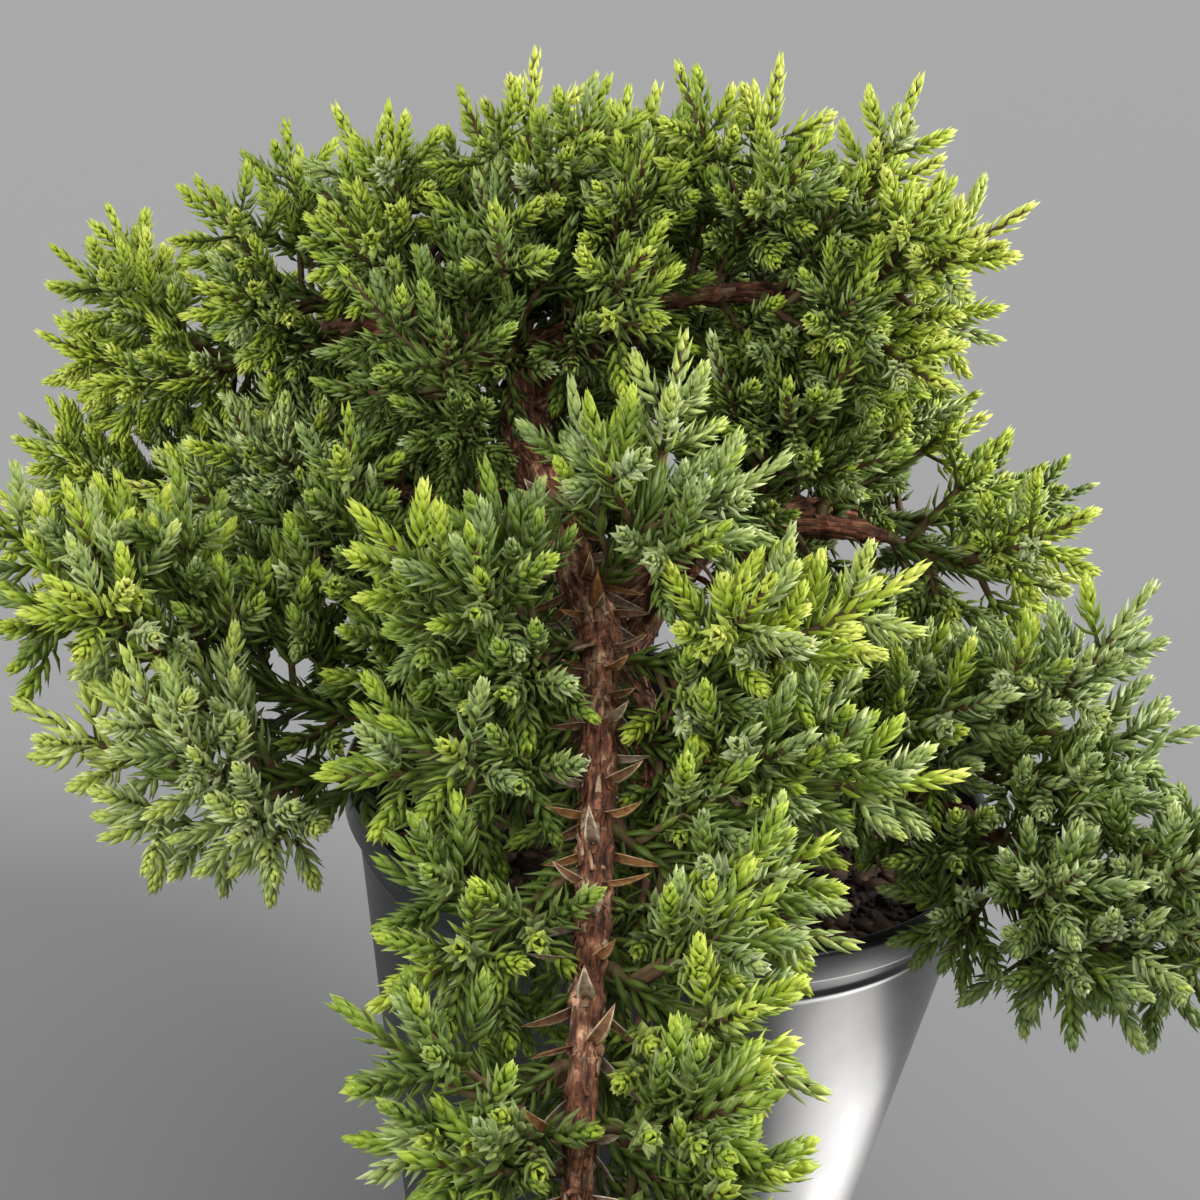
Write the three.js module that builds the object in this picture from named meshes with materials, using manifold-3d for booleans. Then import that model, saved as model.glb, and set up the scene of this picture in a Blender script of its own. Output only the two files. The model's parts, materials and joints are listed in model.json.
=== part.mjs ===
// A dwarf Japanese garden juniper in a round nursery pot. A short trunk leans out of the soil,
// boughs arch from it over the rim, and each bough carries masses of twigs set with side shoots.
// Millimetres, +Z up. The origin is the centre of the pot's flat underside and -Y is the front.
import * as THREE from "three";
import { mergeVertices } from "three/addons/utils/BufferGeometryUtils.js";
import Module from "manifold-3d";

const wasm = await Module();
wasm.setup();

// Driving dimensions of the pot and its soil
const POT_HEIGHT = 98;
const POT_RIM_RADIUS = 57;
const POT_BASE_RADIUS = 40;
const POT_WALL = 1.2;
const POT_FLOOR = 1.6;
const POT_SIDES = 36;
const COLLAR_HEIGHT = 5.5;
const COLLAR_STEP = 1.4;
const COLLAR_DRAFT = 0.3;
const RIM_ROUNDING = 0.5;
const BEAD_DROP = 10;
const BEAD_OUT = 0.5;
const FOOT_HEIGHT = 4;
const FOOT_IN = 1.4;
const DRAIN_HOLES = 6;
const DRAIN_RADIUS = 4;
const DRAIN_RING_RADIUS = 27;
const DRAIN_SIDES = 12;
const SOIL_EDGE_Z = 85.5;
const SOIL_TOP_Z = 89;
const SOIL_CROWN_RADIUS = 13;
const SOIL_SHOULDER_OUT = 0.62;
const SOIL_SHOULDER_UP = 0.6;
const GAP = 0.3;

// Driving dimensions of the wood
const LIMB_SIDES = 8;
const LIMB_STEP = 11;
const FEWEST_RINGS = 5;
const TRUNK_FLARE = 3.2;
const FLARE_SHARE = 0.22;
const STEM_RADII = [1.9, 1.5];
const STEM_START = 0.13;
const END_LENGTH = 20;
const END_SHARE = 0.42;
const BUD_LENGTH = 4;
const STEM_LIFT = 0.12;
const END_GAP = 0.45;
const SEAT_SAMPLES = 200;
const SEAT_PASSES = 6;
const STEM_HEADING = { outward: 0.8, along: 0.6 };
const STEM_BEND = { reach: 0.3, towardTip: 0.25 };
const LIMB_PARTS = 20;
const STEM_PARTS = 12;

// Driving dimensions of the leafy twigs
const GOLDEN_ANGLE = 2.39996;
const TWIG_STEP = 4.1;
const FEWEST_TWIGS = 2;
const TWIG_FOOT = 2.8;
const TWIG_FOOT_RADIUS = 1.5;
const TWIG_JITTER = 0.35;
const LAST_TWIG_SHARE = 0.05;
const TWIG_ANGLES = [1.2, 0.65];
const TWIG_REACH = 1.5;
const TWIG_LENGTHS = [0.85, 1.15];
const TWIG_TAPER = 0.4;
const TWIG_LIFT = 0.22;
const TWIG_SAG = 0.1;
const TWIG_BULGE = 0.08;
const BARE_FOOT = 5;
const END_BARE_SHARE = 0.1;
const LEAFY_LENGTH = 34;
const CORE_RADII = [2.4, 1.8];
const WHORL_STEP = 5.8;
const MOST_WHORLS = 4;
const WHORL_TWIST = 0.5;
const TIP_LENGTH = 9;
const SHOOT_LENGTH = 12;
const SHOOT_TAPER = 0.25;
const SHOOT_LENGTHS = [0.8, 1.15];
const SHOOT_ANGLES = [1.0, 0.62];
const SHOOT_SPREAD = 0.25;
const SHOOT_RADII = [2.6, 0.2];
const SHOOT_TESTS = [0.1, 0.4, 0.7, 1];
const CLEARANCE = 0.35;
const BEAD_STEP = 2;
const CELL = 8;
const RIM_MARGIN = 3;

// Each limb is a cubic curve through the air with a radius at either end. A bough that names the
// limb it stands on starts just clear of that limb's bark.
const LIMBS = {
  trunk: {
    points: [[-5, 10, 89.3], [-5, 10, 116], [-30, 6, 138], [-34, 20, 172]],
    radii: [5.0, 2.4],
  },
  bough_front_upper: {
    on: "trunk",
    points: [[-32, 9, 159], [-31, -6, 158], [-20, -27, 148], [-15, -40, 141]],
    radii: [3.2, 2.7],
  },
  bough_front_lower: {
    points: [[-15, -41, 140.6], [-13, -62, 130], [-12, -95, 114], [-11, -140, 108]],
    radii: [2.6, 1.5],
  },
  bough_left_front: {
    on: "trunk",
    points: [[-17, 4, 117], [-26, -8, 121], [-38, -28, 120], [-52, -45, 117]],
    radii: [2.6, 1.7],
  },
  bough_left_back: {
    on: "trunk",
    points: [[-37, 19, 165], [-46, 24, 170], [-60, 36, 167], [-76, 48, 158]],
    radii: [2.3, 1.5],
  },
  bough_left_low: {
    on: "trunk",
    points: [[-24, 15, 131], [-38, 24, 137], [-60, 38, 134], [-84, 50, 126]],
    radii: [2.5, 1.6],
  },
  bough_right_back: {
    on: "trunk",
    points: [[-12, 11, 127], [-2, 10, 141], [14, 8, 147], [32, 9, 144]],
    radii: [2.5, 1.6],
  },
  bough_right_front: {
    on: "trunk",
    points: [[-3, 4, 104], [6, -6, 114], [26, -22, 117], [52, -37, 112]],
    radii: [2.8, 1.7],
  },
  bough_right_top: {
    on: "trunk",
    points: [[-30, 17, 168], [-22, 16, 177], [-6, 18, 182], [12, 18, 182]],
    radii: [2.1, 1.4],
  },
  bough_back: {
    on: "trunk",
    points: [[-29, 20, 160], [-26, 36, 172], [-18, 52, 168], [-12, 68, 158]],
    radii: [2.3, 1.5],
  },
  bough_back_right: {
    on: "trunk",
    points: [[-8, 16, 117], [0, 28, 136], [15, 40, 140], [32, 48, 134]],
    radii: [2.5, 1.6],
  },
  bough_back_low: {
    on: "trunk",
    points: [[-9, 19, 106], [-13, 32, 122], [-18, 48, 122], [-24, 60, 115]],
    radii: [2.2, 1.5],
  },
};

// Each mass of foliage: the limb and the share along it where its stem starts, the mass's
// furthest tip, and how far its twigs spread from the stem
const MASSES = {
  upright_spray: { limb: "bough_front_upper", share: 0.84, tip: [-7, -19, 182], spread: 15 },
  front_left_upper: { limb: "bough_front_lower", share: 0.03, tip: [-51, -48, 160], spread: 15 },
  front_left_side: { limb: "bough_front_lower", share: 0.2, tip: [-50, -72, 130], spread: 15 },
  front_left_middle: { limb: "bough_front_lower", share: 0.48, tip: [-38, -101, 114], spread: 14 },
  front_left_tip: { limb: "bough_front_lower", share: 0.76, tip: [-34, -129, 110], spread: 14 },
  front_right_upper: { limb: "bough_front_lower", share: 0.05, tip: [30, -41, 157], spread: 15 },
  front_right_side: { limb: "bough_front_lower", share: 0.2, tip: [38, -56, 132], spread: 15 },
  front_right_middle: { limb: "bough_front_lower", share: 0.4, tip: [22, -82, 118], spread: 14 },
  front_right_lower: { limb: "bough_front_lower", share: 0.62, tip: [17, -107, 112], spread: 13 },
  front_right_tip: { limb: "bough_front_lower", share: 0.84, tip: [15, -133, 106], spread: 13 },
  front_end: { limb: "bough_front_lower", share: 1, tip: [-11, -179, 95], spread: 17 },
  left_front_low: { limb: "bough_left_front", share: 1, tip: [-98, -52, 126], spread: 16 },
  left_front_high: { limb: "bough_left_front", share: 0.82, tip: [-113, -34, 152], spread: 17 },
  left_front_inner: { limb: "bough_left_front", share: 0.45, tip: [-78, -25, 154], spread: 18 },
  middle_left: { limb: "bough_front_upper", share: 0.14, tip: [-60, -8, 184], spread: 17 },
  middle_heart: { limb: "trunk", share: 0.93, tip: [-38, -6, 196], spread: 14 },
  left_back: { limb: "bough_left_back", share: 1, tip: [-130, 76, 143], spread: 22 },
  left_back_high: { limb: "bough_left_back", share: 0.72, tip: [-93, 44, 175], spread: 20 },
  left_back_low: { limb: "bough_left_low", share: 1, tip: [-140, 62, 110], spread: 20 },
  left_middle: { limb: "bough_left_low", share: 0.5, tip: [-96, 2, 142], spread: 20 },
  dome_left: { limb: "bough_left_back", share: 0.3, tip: [-70, 40, 201], spread: 19 },
  dome_centre: { limb: "trunk", share: 1, tip: [-36, 36, 214], spread: 18 },
  dome_middle: { limb: "bough_right_top", share: 0.35, tip: [-15, 31, 211], spread: 17 },
  dome_right: { limb: "bough_right_top", share: 0.75, tip: [5, 26, 218], spread: 17 },
  dome_far_right: { limb: "bough_right_top", share: 1, tip: [47, 14, 201], spread: 19 },
  middle_spray: { limb: "bough_right_top", share: 0.16, tip: [-14, -8, 192], spread: 12 },
  right_high: { limb: "bough_right_top", share: 0.9, tip: [34, -2, 178], spread: 16 },
  right_centre: { limb: "bough_right_back", share: 0.5, tip: [22, -2, 180], spread: 17 },
  right_back_high: { limb: "bough_right_back", share: 0.78, tip: [46, 17, 164], spread: 17 },
  right_back: { limb: "bough_right_back", share: 1, tip: [64, 6, 141], spread: 18 },
  right_low: { limb: "bough_right_front", share: 0.35, tip: [44, 0, 132], spread: 15 },
  right_front_inner: { limb: "bough_right_front", share: 0.58, tip: [46, -44, 140], spread: 16 },
  right_front_outer: { limb: "bough_right_front", share: 0.85, tip: [68, -26, 152], spread: 18 },
  right_front_far: { limb: "bough_right_front", share: 1, tip: [103, -55, 114], spread: 19 },
  right_front_low: { limb: "bough_right_front", share: 0.93, tip: [84, -67, 105], spread: 16 },
  back_top: { limb: "bough_back", share: 0.42, tip: [-20, 62, 206], spread: 21 },
  back_end: { limb: "bough_back", share: 1, tip: [-6, 114, 148], spread: 23 },
  back_left: { limb: "bough_left_low", share: 0.74, tip: [-70, 98, 156], spread: 23 },
  back_right_high: { limb: "bough_back_right", share: 0.55, tip: [38, 52, 190], spread: 21 },
  back_right: { limb: "bough_back_right", share: 1, tip: [64, 76, 136], spread: 22 },
  back_low: { limb: "bough_back_low", share: 1, tip: [-38, 106, 112], spread: 21 },
  back_right_low: { limb: "bough_back_right", share: 0.8, tip: [22, 96, 120], spread: 19 },
  back_left_low: { limb: "bough_back_low", share: 0.55, tip: [-84, 92, 118], spread: 21 },
  back_middle: { limb: "bough_back", share: 0.75, tip: [26, 92, 176], spread: 21 },
  back_inner: { limb: "bough_back", share: 0.6, tip: [-62, 78, 184], spread: 21 },
};

const POT_COLOUR = { color: 0x121314, roughness: 0.25, metalness: 0 };
const SOIL_COLOUR = { color: 0x2a1c12, roughness: 0.95, metalness: 0 };
const BARK_COLOUR = { color: 0x6b4230, roughness: 0.85, metalness: 0 };
const LEAF_COLOUR = { color: 0x5c8a3a, roughness: 0.6, metalness: 0 };

const { lerp, clamp } = THREE.MathUtils;
const vector = (numbers) => new THREE.Vector3(...numbers);
const group = new THREE.Group();
const FIRST_SIDE = new THREE.Vector3(0.31, 0.87, 0.39);

function addPiece(name, geometry, colour) {
  const mesh = new THREE.Mesh(geometry, new THREE.MeshStandardMaterial(colour));
  mesh.name = name;
  group.add(mesh);
}

// A repeatable stream of numbers from 0 to 1
function seededNumbers(seed) {
  let state = seed;
  return () => {
    state = (state * 48271) % 2147483647;
    return state / 2147483647;
  };
}

// Solids for cutting and joining, and back
function toSolid(geometry) {
  const bare = geometry.clone();
  bare.deleteAttribute("normal");
  bare.deleteAttribute("uv");
  const merged = mergeVertices(bare, 1e-4);
  return new wasm.Manifold(
    new wasm.Mesh({
      numProp: 3,
      vertProperties: merged.attributes.position.array,
      triVerts: new Uint32Array(merged.index.array),
    }),
  );
}

function toGeometry(solid) {
  const { vertProperties, triVerts } = solid.getMesh();
  const geometry = new THREE.BufferGeometry();
  geometry.setAttribute("position", new THREE.BufferAttribute(vertProperties, 3));
  geometry.setIndex(new THREE.BufferAttribute(triVerts, 1));
  geometry.computeVertexNormals();
  return geometry;
}

// Surfaces made of rings
function shellGeometry(points, faces) {
  const geometry = new THREE.BufferGeometry().setFromPoints(points);
  geometry.setIndex(faces.flat());
  geometry.computeVertexNormals();
  return geometry;
}

// The cross directions at each share of a curve, carried along it without a twist
function carriedFrames(curve, shares, firstSide) {
  let side = firstSide.clone();
  return shares.map((share) => {
    const along = curve.getTangent(share);
    side = side.clone().addScaledVector(along, -side.dot(along)).normalize();
    return { centre: curve.getPoint(share), along, side, across: along.clone().cross(side) };
  });
}

function spoke(frame, angle) {
  const direction = frame.side.clone().multiplyScalar(Math.cos(angle));
  return direction.addScaledVector(frame.across, Math.sin(angle));
}

function ringAt(frame, radius, sides, turn) {
  return Array.from({ length: sides }, (_, corner) =>
    spoke(frame, turn + (corner * 2 * Math.PI) / sides)
      .multiplyScalar(radius)
      .add(frame.centre),
  );
}

// The quads between two rings, given as the indices of their corners
function quadsBetween(low, high) {
  return low.map((_, corner) => {
    const next = (corner + 1) % low.length;
    return [low[corner], low[next], high[next], high[corner]];
  });
}

const splitQuad = ([a, b, c, d]) => [[a, b, c], [a, c, d]];

// A round limb with flat ends, swept along its curve
function limbGeometry(curve, radiusAt, rings) {
  const shares = Array.from({ length: rings }, (_, ring) => ring / (rings - 1));
  const frames = carriedFrames(curve, shares, FIRST_SIDE);
  const points = frames.flatMap((frame, ring) => ringAt(frame, radiusAt(shares[ring]), LIMB_SIDES, 0));
  const loop = (ring) => Array.from({ length: LIMB_SIDES }, (_, corner) => ring * LIMB_SIDES + corner);
  const faces = [];
  for (let ring = 0; ring < rings - 1; ring++)
    faces.push(...quadsBetween(loop(ring), loop(ring + 1)).flatMap(splitQuad));
  const last = (rings - 1) * LIMB_SIDES;
  for (let corner = 1; corner < LIMB_SIDES - 1; corner++)
    faces.push([0, corner + 1, corner], [last, last + corner, last + corner + 1]);
  return shellGeometry(points, faces);
}

// The pot: a thin tapering wall with a collar, a bead under it, a foot and drain holes in its floor
function wallRadius(z) {
  return lerp(POT_BASE_RADIUS, POT_RIM_RADIUS - COLLAR_STEP, z / POT_HEIGHT);
}

function turned(outline) {
  const profile = outline.map(([radius, z]) => new THREE.Vector2(radius, z));
  return new THREE.LatheGeometry(profile, POT_SIDES).rotateX(Math.PI / 2);
}

function addPot() {
  const collarZ = POT_HEIGHT - COLLAR_HEIGHT;
  const beadZ = POT_HEIGHT - BEAD_DROP;
  const outline = [
    [0, 0],
    [POT_BASE_RADIUS - FOOT_IN, 0],
    [wallRadius(FOOT_HEIGHT) - FOOT_IN, FOOT_HEIGHT],
    [wallRadius(FOOT_HEIGHT + 1), FOOT_HEIGHT + 1],
    [wallRadius(beadZ - 1), beadZ - 1],
    [wallRadius(beadZ) + BEAD_OUT, beadZ],
    [wallRadius(beadZ + 1), beadZ + 1],
    [wallRadius(collarZ), collarZ],
    [POT_RIM_RADIUS - COLLAR_DRAFT, collarZ],
    [POT_RIM_RADIUS, POT_HEIGHT - RIM_ROUNDING],
    [POT_RIM_RADIUS - RIM_ROUNDING, POT_HEIGHT],
    [wallRadius(POT_HEIGHT) - POT_WALL, POT_HEIGHT],
    [wallRadius(FOOT_HEIGHT + 1) - POT_WALL - FOOT_IN, FOOT_HEIGHT + 1],
    [POT_BASE_RADIUS - FOOT_IN - POT_WALL, POT_FLOOR],
    [0, POT_FLOOR],
  ];
  let pot = toSolid(turned(outline));
  for (let hole = 0; hole < DRAIN_HOLES; hole++) {
    const angle = ((hole + 0.5) * 2 * Math.PI) / DRAIN_HOLES;
    const drain = new THREE.CylinderGeometry(DRAIN_RADIUS, DRAIN_RADIUS, 4 * POT_FLOOR, DRAIN_SIDES)
      .rotateX(Math.PI / 2)
      .translate(DRAIN_RING_RADIUS * Math.cos(angle), DRAIN_RING_RADIUS * Math.sin(angle), 0);
    pot = pot.subtract(toSolid(drain));
  }
  addPiece("pot", toGeometry(pot), POT_COLOUR);
}

function addSoil() {
  const innerRadius = (z) => {
    const top = wallRadius(POT_HEIGHT) - POT_WALL;
    const bottom = wallRadius(FOOT_HEIGHT + 1) - POT_WALL - FOOT_IN;
    return lerp(bottom, top, (z - FOOT_HEIGHT - 1) / (POT_HEIGHT - FOOT_HEIGHT - 1)) - 2 * GAP;
  };
  const outline = [
    [0, POT_FLOOR + GAP],
    [POT_BASE_RADIUS - FOOT_IN - POT_WALL - 2 * GAP, POT_FLOOR + GAP],
    [innerRadius(FOOT_HEIGHT + 1), FOOT_HEIGHT + 1],
    [innerRadius(SOIL_EDGE_Z), SOIL_EDGE_Z],
    [innerRadius(SOIL_EDGE_Z) * SOIL_SHOULDER_OUT, lerp(SOIL_EDGE_Z, SOIL_TOP_Z, SOIL_SHOULDER_UP)],
    [SOIL_CROWN_RADIUS, SOIL_TOP_Z],
    [0, SOIL_TOP_Z],
  ];
  addPiece("soil", turned(outline), SOIL_COLOUR);
}

// The limbs
const limbCurves = {};

function limbCurve(name) {
  if (!limbCurves[name]) {
    const { points, on, radii } = LIMBS[name];
    const [start, ...others] = points.map(vector);
    const curveFrom = (place) => new THREE.CubicBezierCurve3(place, ...others);
    const endAt = (place) => {
      const [frame] = carriedFrames(curveFrom(place), [0], FIRST_SIDE);
      return ringAt(frame, radii[0], LIMB_SIDES, 0);
    };
    limbCurves[name] = curveFrom(on ? seat(on, start, endAt) : start);
  }
  return limbCurves[name];
}

function limbRadius(name, share) {
  const [start, end] = LIMBS[name].radii;
  const flare = name === "trunk" ? TRUNK_FLARE * Math.max(0, 1 - share / FLARE_SHARE) ** 2 : 0;
  return lerp(start, end, share) + flare;
}

// The point of a limb's centre line that is nearest to a point in the air, and the gap to the bark
function nearestOn(name, point) {
  let nearest = { gap: Infinity };
  for (let sample = 0; sample <= SEAT_SAMPLES; sample++) {
    const share = sample / SEAT_SAMPLES;
    const centre = limbCurve(name).getPoint(share);
    const gap = point.distanceTo(centre) - limbRadius(name, share);
    if (gap < nearest.gap) nearest = { centre, gap };
  }
  return nearest;
}

// Moves the foot of a limb or stem toward the limb that carries it, until it is just clear of it
function seat(carrier, start, outlineAt) {
  const place = start.clone();
  const inward = nearestOn(carrier, place).centre.clone().sub(place).normalize();
  for (let pass = 0; pass < SEAT_PASSES; pass++) {
    const gap = Math.min(...outlineAt(place).map((point) => nearestOn(carrier, point).gap));
    place.addScaledVector(inward, gap - GAP);
  }
  return place;
}

function addLimbs() {
  for (const name of Object.keys(LIMBS)) {
    const curve = limbCurve(name);
    const rings = Math.max(FEWEST_RINGS, Math.round(curve.getLength() / LIMB_STEP) + 1);
    const geometry = limbGeometry(curve, (share) => limbRadius(name, share), rings);
    addPiece(name, geometry, BARK_COLOUR);
  }
}

// What is already there, as round beads sorted into cells, so that a new twig can keep clear of it
const cells = new Map();

function cellKey(x, y, z) {
  return `${x},${y},${z}`;
}

function addBeads(from, to, radii, owner) {
  const count = Math.max(1, Math.ceil(from.distanceTo(to) / BEAD_STEP));
  for (let bead = 0; bead <= count; bead++) {
    const centre = from.clone().lerp(to, bead / count);
    const key = cellKey(...centre.toArray().map((value) => Math.floor(value / CELL)));
    if (!cells.has(key)) cells.set(key, []);
    cells.get(key).push({ centre, radius: lerp(...radii, bead / count), owner });
  }
}

function addCurveBeads(curve, stop, parts, radiusAt, owner) {
  for (let part = 0; part < parts; part++) {
    const [from, to] = [part, part + 1].map((end) => (stop * end) / parts);
    addBeads(curve.getPoint(from), curve.getPoint(to), [radiusAt(from), radiusAt(to)], owner);
  }
}

function nearbyBeads(point) {
  const [x, y, z] = point.toArray().map((value) => Math.floor(value / CELL));
  const found = [];
  for (const dx of [-1, 0, 1])
    for (const dy of [-1, 0, 1])
      for (const dz of [-1, 0, 1]) found.push(...(cells.get(cellKey(x + dx, y + dy, z + dz)) ?? []));
  return found;
}

function isFree(point, radius, own) {
  const overPot = Math.hypot(point.x, point.y) < POT_RIM_RADIUS + RIM_MARGIN;
  if (overPot && point.z < POT_HEIGHT + RIM_MARGIN) return false;
  return nearbyBeads(point).every(
    (bead) => bead.owner === own || point.distanceTo(bead.centre) > bead.radius + radius + CLEARANCE,
  );
}

// A mass's stem starts beside its limb, or past the limb's end, just clear of the bark
function stemRoot(mass) {
  const curve = limbCurve(mass.limb);
  const start = curve.getPoint(mass.share);
  const along = curve.getTangent(mass.share);
  if (mass.share === 1) return { root: start.addScaledVector(along, END_GAP), heading: along };
  const toward = vector(mass.tip).sub(start).normalize();
  const outward = toward.clone().addScaledVector(along, -toward.dot(along)).normalize();
  const heading = outward.clone().multiplyScalar(STEM_HEADING.outward);
  heading.addScaledVector(along, STEM_HEADING.along).normalize();
  const clear = limbRadius(mass.limb, mass.share) + STEM_RADII[0];
  const footAt = (place) => {
    const [frame] = carriedFrames(bentCurve(place, heading, mass), [0], FIRST_SIDE);
    const corners = ringAt(frame, STEM_RADII[0], 3, 0);
    return [...corners, ...corners.map((corner, at) => corner.clone().lerp(corners[(at + 1) % 3], 0.5))];
  };
  return { root: seat(mass.limb, start.addScaledVector(outward, clear), footAt), heading };
}

function bentCurve(root, heading, mass) {
  const tip = vector(mass.tip);
  const length = root.distanceTo(tip);
  const bend = root.clone().addScaledVector(heading, length * STEM_BEND.reach);
  bend.lerp(tip, STEM_BEND.towardTip);
  bend.z -= length * STEM_LIFT;
  return new THREE.QuadraticBezierCurve3(root, bend, tip);
}

function stemCurve(mass) {
  const { root, heading } = stemRoot(mass);
  return bentCurve(root, heading, mass);
}

// The plan of a mass's stem: three-sided rings, with a pair at the foot of each twig. Each pair is
// turned on from the last, so that the feet follow the golden angle round the stem.
function planStem(mass, random) {
  const curve = stemCurve(mass);
  const length = curve.getLength();
  const stop = 1 - Math.min(END_SHARE, END_LENGTH / length);
  const count = Math.max(FEWEST_TWIGS, Math.round((length * stop) / TWIG_STEP));
  const feet = Array.from({ length: count }, (_, twig) =>
    lerp(STEM_START, stop - LAST_TWIG_SHARE, (twig + TWIG_JITTER * random()) / (count - 1 + TWIG_JITTER)),
  );
  const half = TWIG_FOOT / 2 / length;
  const shares = [0, ...feet.flatMap((foot) => [foot - half, foot + half]), stop];
  const frames = carriedFrames(curve, shares, FIRST_SIDE);
  const turns = [0, ...feet.flatMap((_, twig) => [twig, twig]), count - 1].map(
    (twig) => twig * (GOLDEN_ANGLE - (2 * Math.PI) / 3),
  );
  const radii = shares.map((share) => lerp(...STEM_RADII, share));
  const rings = frames.map((frame, ring) => ringAt(frame, radii[ring], 3, turns[ring]));
  return { curve, stop, feet, frames, turns, rings };
}

// The path of the twig that stands on a given foot of the stem: out from the stem, then up
function twigPath(stem, twig, spread, random) {
  const low = stem.frames[1 + 2 * twig];
  const share = stem.feet[twig];
  const outward = spoke(low, stem.turns[1 + 2 * twig] + ((twig % 3) + 0.5) * ((2 * Math.PI) / 3));
  const foot = stem.curve.getPoint(share).addScaledVector(outward, STEM_RADII[1] / 2);
  const angle = lerp(...TWIG_ANGLES, share);
  const length = spread * TWIG_REACH * (1 - TWIG_TAPER * share) * lerp(...TWIG_LENGTHS, random());
  const tip = foot
    .clone()
    .addScaledVector(low.along, length * Math.cos(angle))
    .addScaledVector(outward, length * Math.sin(angle));
  tip.z += length * TWIG_LIFT;
  const bend = foot.clone().lerp(tip, 0.5).addScaledVector(outward, length * TWIG_BULGE);
  bend.z -= length * TWIG_SAG;
  return new THREE.QuadraticBezierCurve3(foot, bend, tip);
}

// The plan of a leafy twig: a bare foot, then whorls of side shoots round a core, and a pointed
// end. It stops short of what is in its way, and is null where too little of it is free.
function planTwig(curve, sides, firstSide, own, stemOwner, random) {
  const length = curve.getLength();
  const bare = sides === 4 ? BARE_FOOT / length : END_BARE_SHARE;
  const leafStart = Math.max(bare, 1 - LEAFY_LENGTH / length);
  const leafEnd = 1 - TIP_LENGTH / length;
  const planned = clamp(Math.round(((leafEnd - leafStart) * length) / WHORL_STEP), 1, MOST_WHORLS);
  const wishes = Array.from({ length: planned * sides }, () => [random(), random()]);
  const shares = Array.from({ length: planned + 1 }, (_, ring) => lerp(leafStart, leafEnd, ring / planned));
  const frames = carriedFrames(curve, shares, firstSide);
  const stations = [...frames.map((frame) => frame.centre), curve.getPoint(1)];
  const blocked = stations.findIndex((point, at) => {
    const between = point.clone().lerp(at > 0 ? stations[at - 1] : curve.getPoint(0), 0.5);
    return !isFree(point, CORE_RADII[1], stemOwner) || !isFree(between, CORE_RADII[1], stemOwner);
  });
  const reached = blocked < 0 ? stations.length : blocked;
  const whorls = reached - 2;
  if (whorls < 1) return null;

  const radii = frames.map((_, ring) => lerp(...CORE_RADII, ring / planned));
  const rings = Array.from({ length: whorls + 1 }, (_, ring) =>
    ringAt(frames[ring], radii[ring], sides, ring * WHORL_TWIST),
  );
  const shoots = [];
  for (let whorl = 0; whorl < whorls; whorl++)
    for (let corner = 0; corner < sides; corner++) {
      const [longer, wider] = wishes[whorl * sides + corner];
      const low = frames[whorl];
      const outward = spoke(low, (whorl + 0.5) * WHORL_TWIST + ((corner + 0.5) * 2 * Math.PI) / sides);
      const axis = low.centre.clone().lerp(frames[whorl + 1].centre, 0.5);
      const foot = axis.addScaledVector(outward, radii[whorl] * Math.cos(Math.PI / sides));
      const up = (whorl + 1) / (planned + 1);
      const angle = lerp(...SHOOT_ANGLES, up) + SHOOT_SPREAD * (wider - 0.5);
      const reach = SHOOT_LENGTH * (1 - SHOOT_TAPER * up) * lerp(...SHOOT_LENGTHS, longer);
      const tip = foot
        .clone()
        .addScaledVector(low.along, reach * Math.cos(angle))
        .addScaledVector(outward, reach * Math.sin(angle));
      const clear = SHOOT_TESTS.every((share) =>
        isFree(foot.clone().lerp(tip, share), lerp(...SHOOT_RADII, share), own),
      );
      if (clear) shoots.push({ whorl, corner, foot, tip });
    }
  const end = stations[reached - 1];
  addBeads(curve.getPoint(0), frames[0].centre, [TWIG_FOOT_RADIUS, radii[0]], own);
  for (let whorl = 0; whorl < whorls; whorl++)
    addBeads(frames[whorl].centre, frames[whorl + 1].centre, [radii[whorl], radii[whorl + 1]], own);
  addBeads(frames[whorls].centre, end, [radii[whorls], SHOOT_RADII[1]], own);
  for (const shoot of shoots) addBeads(shoot.foot, shoot.tip, SHOOT_RADII, own);
  return { rings, shoots, end };
}

// The surface of a leafy twig, grown from a loop of corners on the stem, with a pyramid for each
// side shoot
function growTwig(points, faces, loop, { rings, shoots, end }) {
  let low = loop;
  rings.forEach((ring, at) => {
    const high = ring.map((corner) => points.push(corner) - 1);
    quadsBetween(low, high).forEach((quad, corner) => {
      const shoot = shoots.find((one) => one.whorl === at - 1 && one.corner === corner);
      if (shoot) faces.push(...pointed(quad, points.push(shoot.tip) - 1));
      else faces.push(...splitQuad(quad));
    });
    low = high;
  });
  faces.push(...pointed(low, points.push(end) - 1));
}

function pointed(loop, tip) {
  return loop.map((corner, at) => [corner, loop[(at + 1) % loop.length], tip]);
}

// A mass: the stem's rings, a twig on the foot between each pair of them, and a twig at the end
function massGeometry(stem, twigs, endTwig) {
  const points = stem.rings.flat();
  const faces = [[0, 2, 1]];
  const loop = (ring) => [3 * ring, 3 * ring + 1, 3 * ring + 2];
  for (let ring = 0; ring < stem.rings.length - 1; ring++)
    quadsBetween(loop(ring), loop(ring + 1)).forEach((quad, corner) => {
      const twig = (ring - 1) / 2;
      const plan = Number.isInteger(twig) && corner === twig % 3 ? twigs[twig] : null;
      if (plan) growTwig(points, faces, quad, plan);
      else faces.push(...splitQuad(quad));
    });
  growTwig(points, faces, loop(stem.rings.length - 1), endTwig);
  return shellGeometry(points, faces);
}

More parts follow.
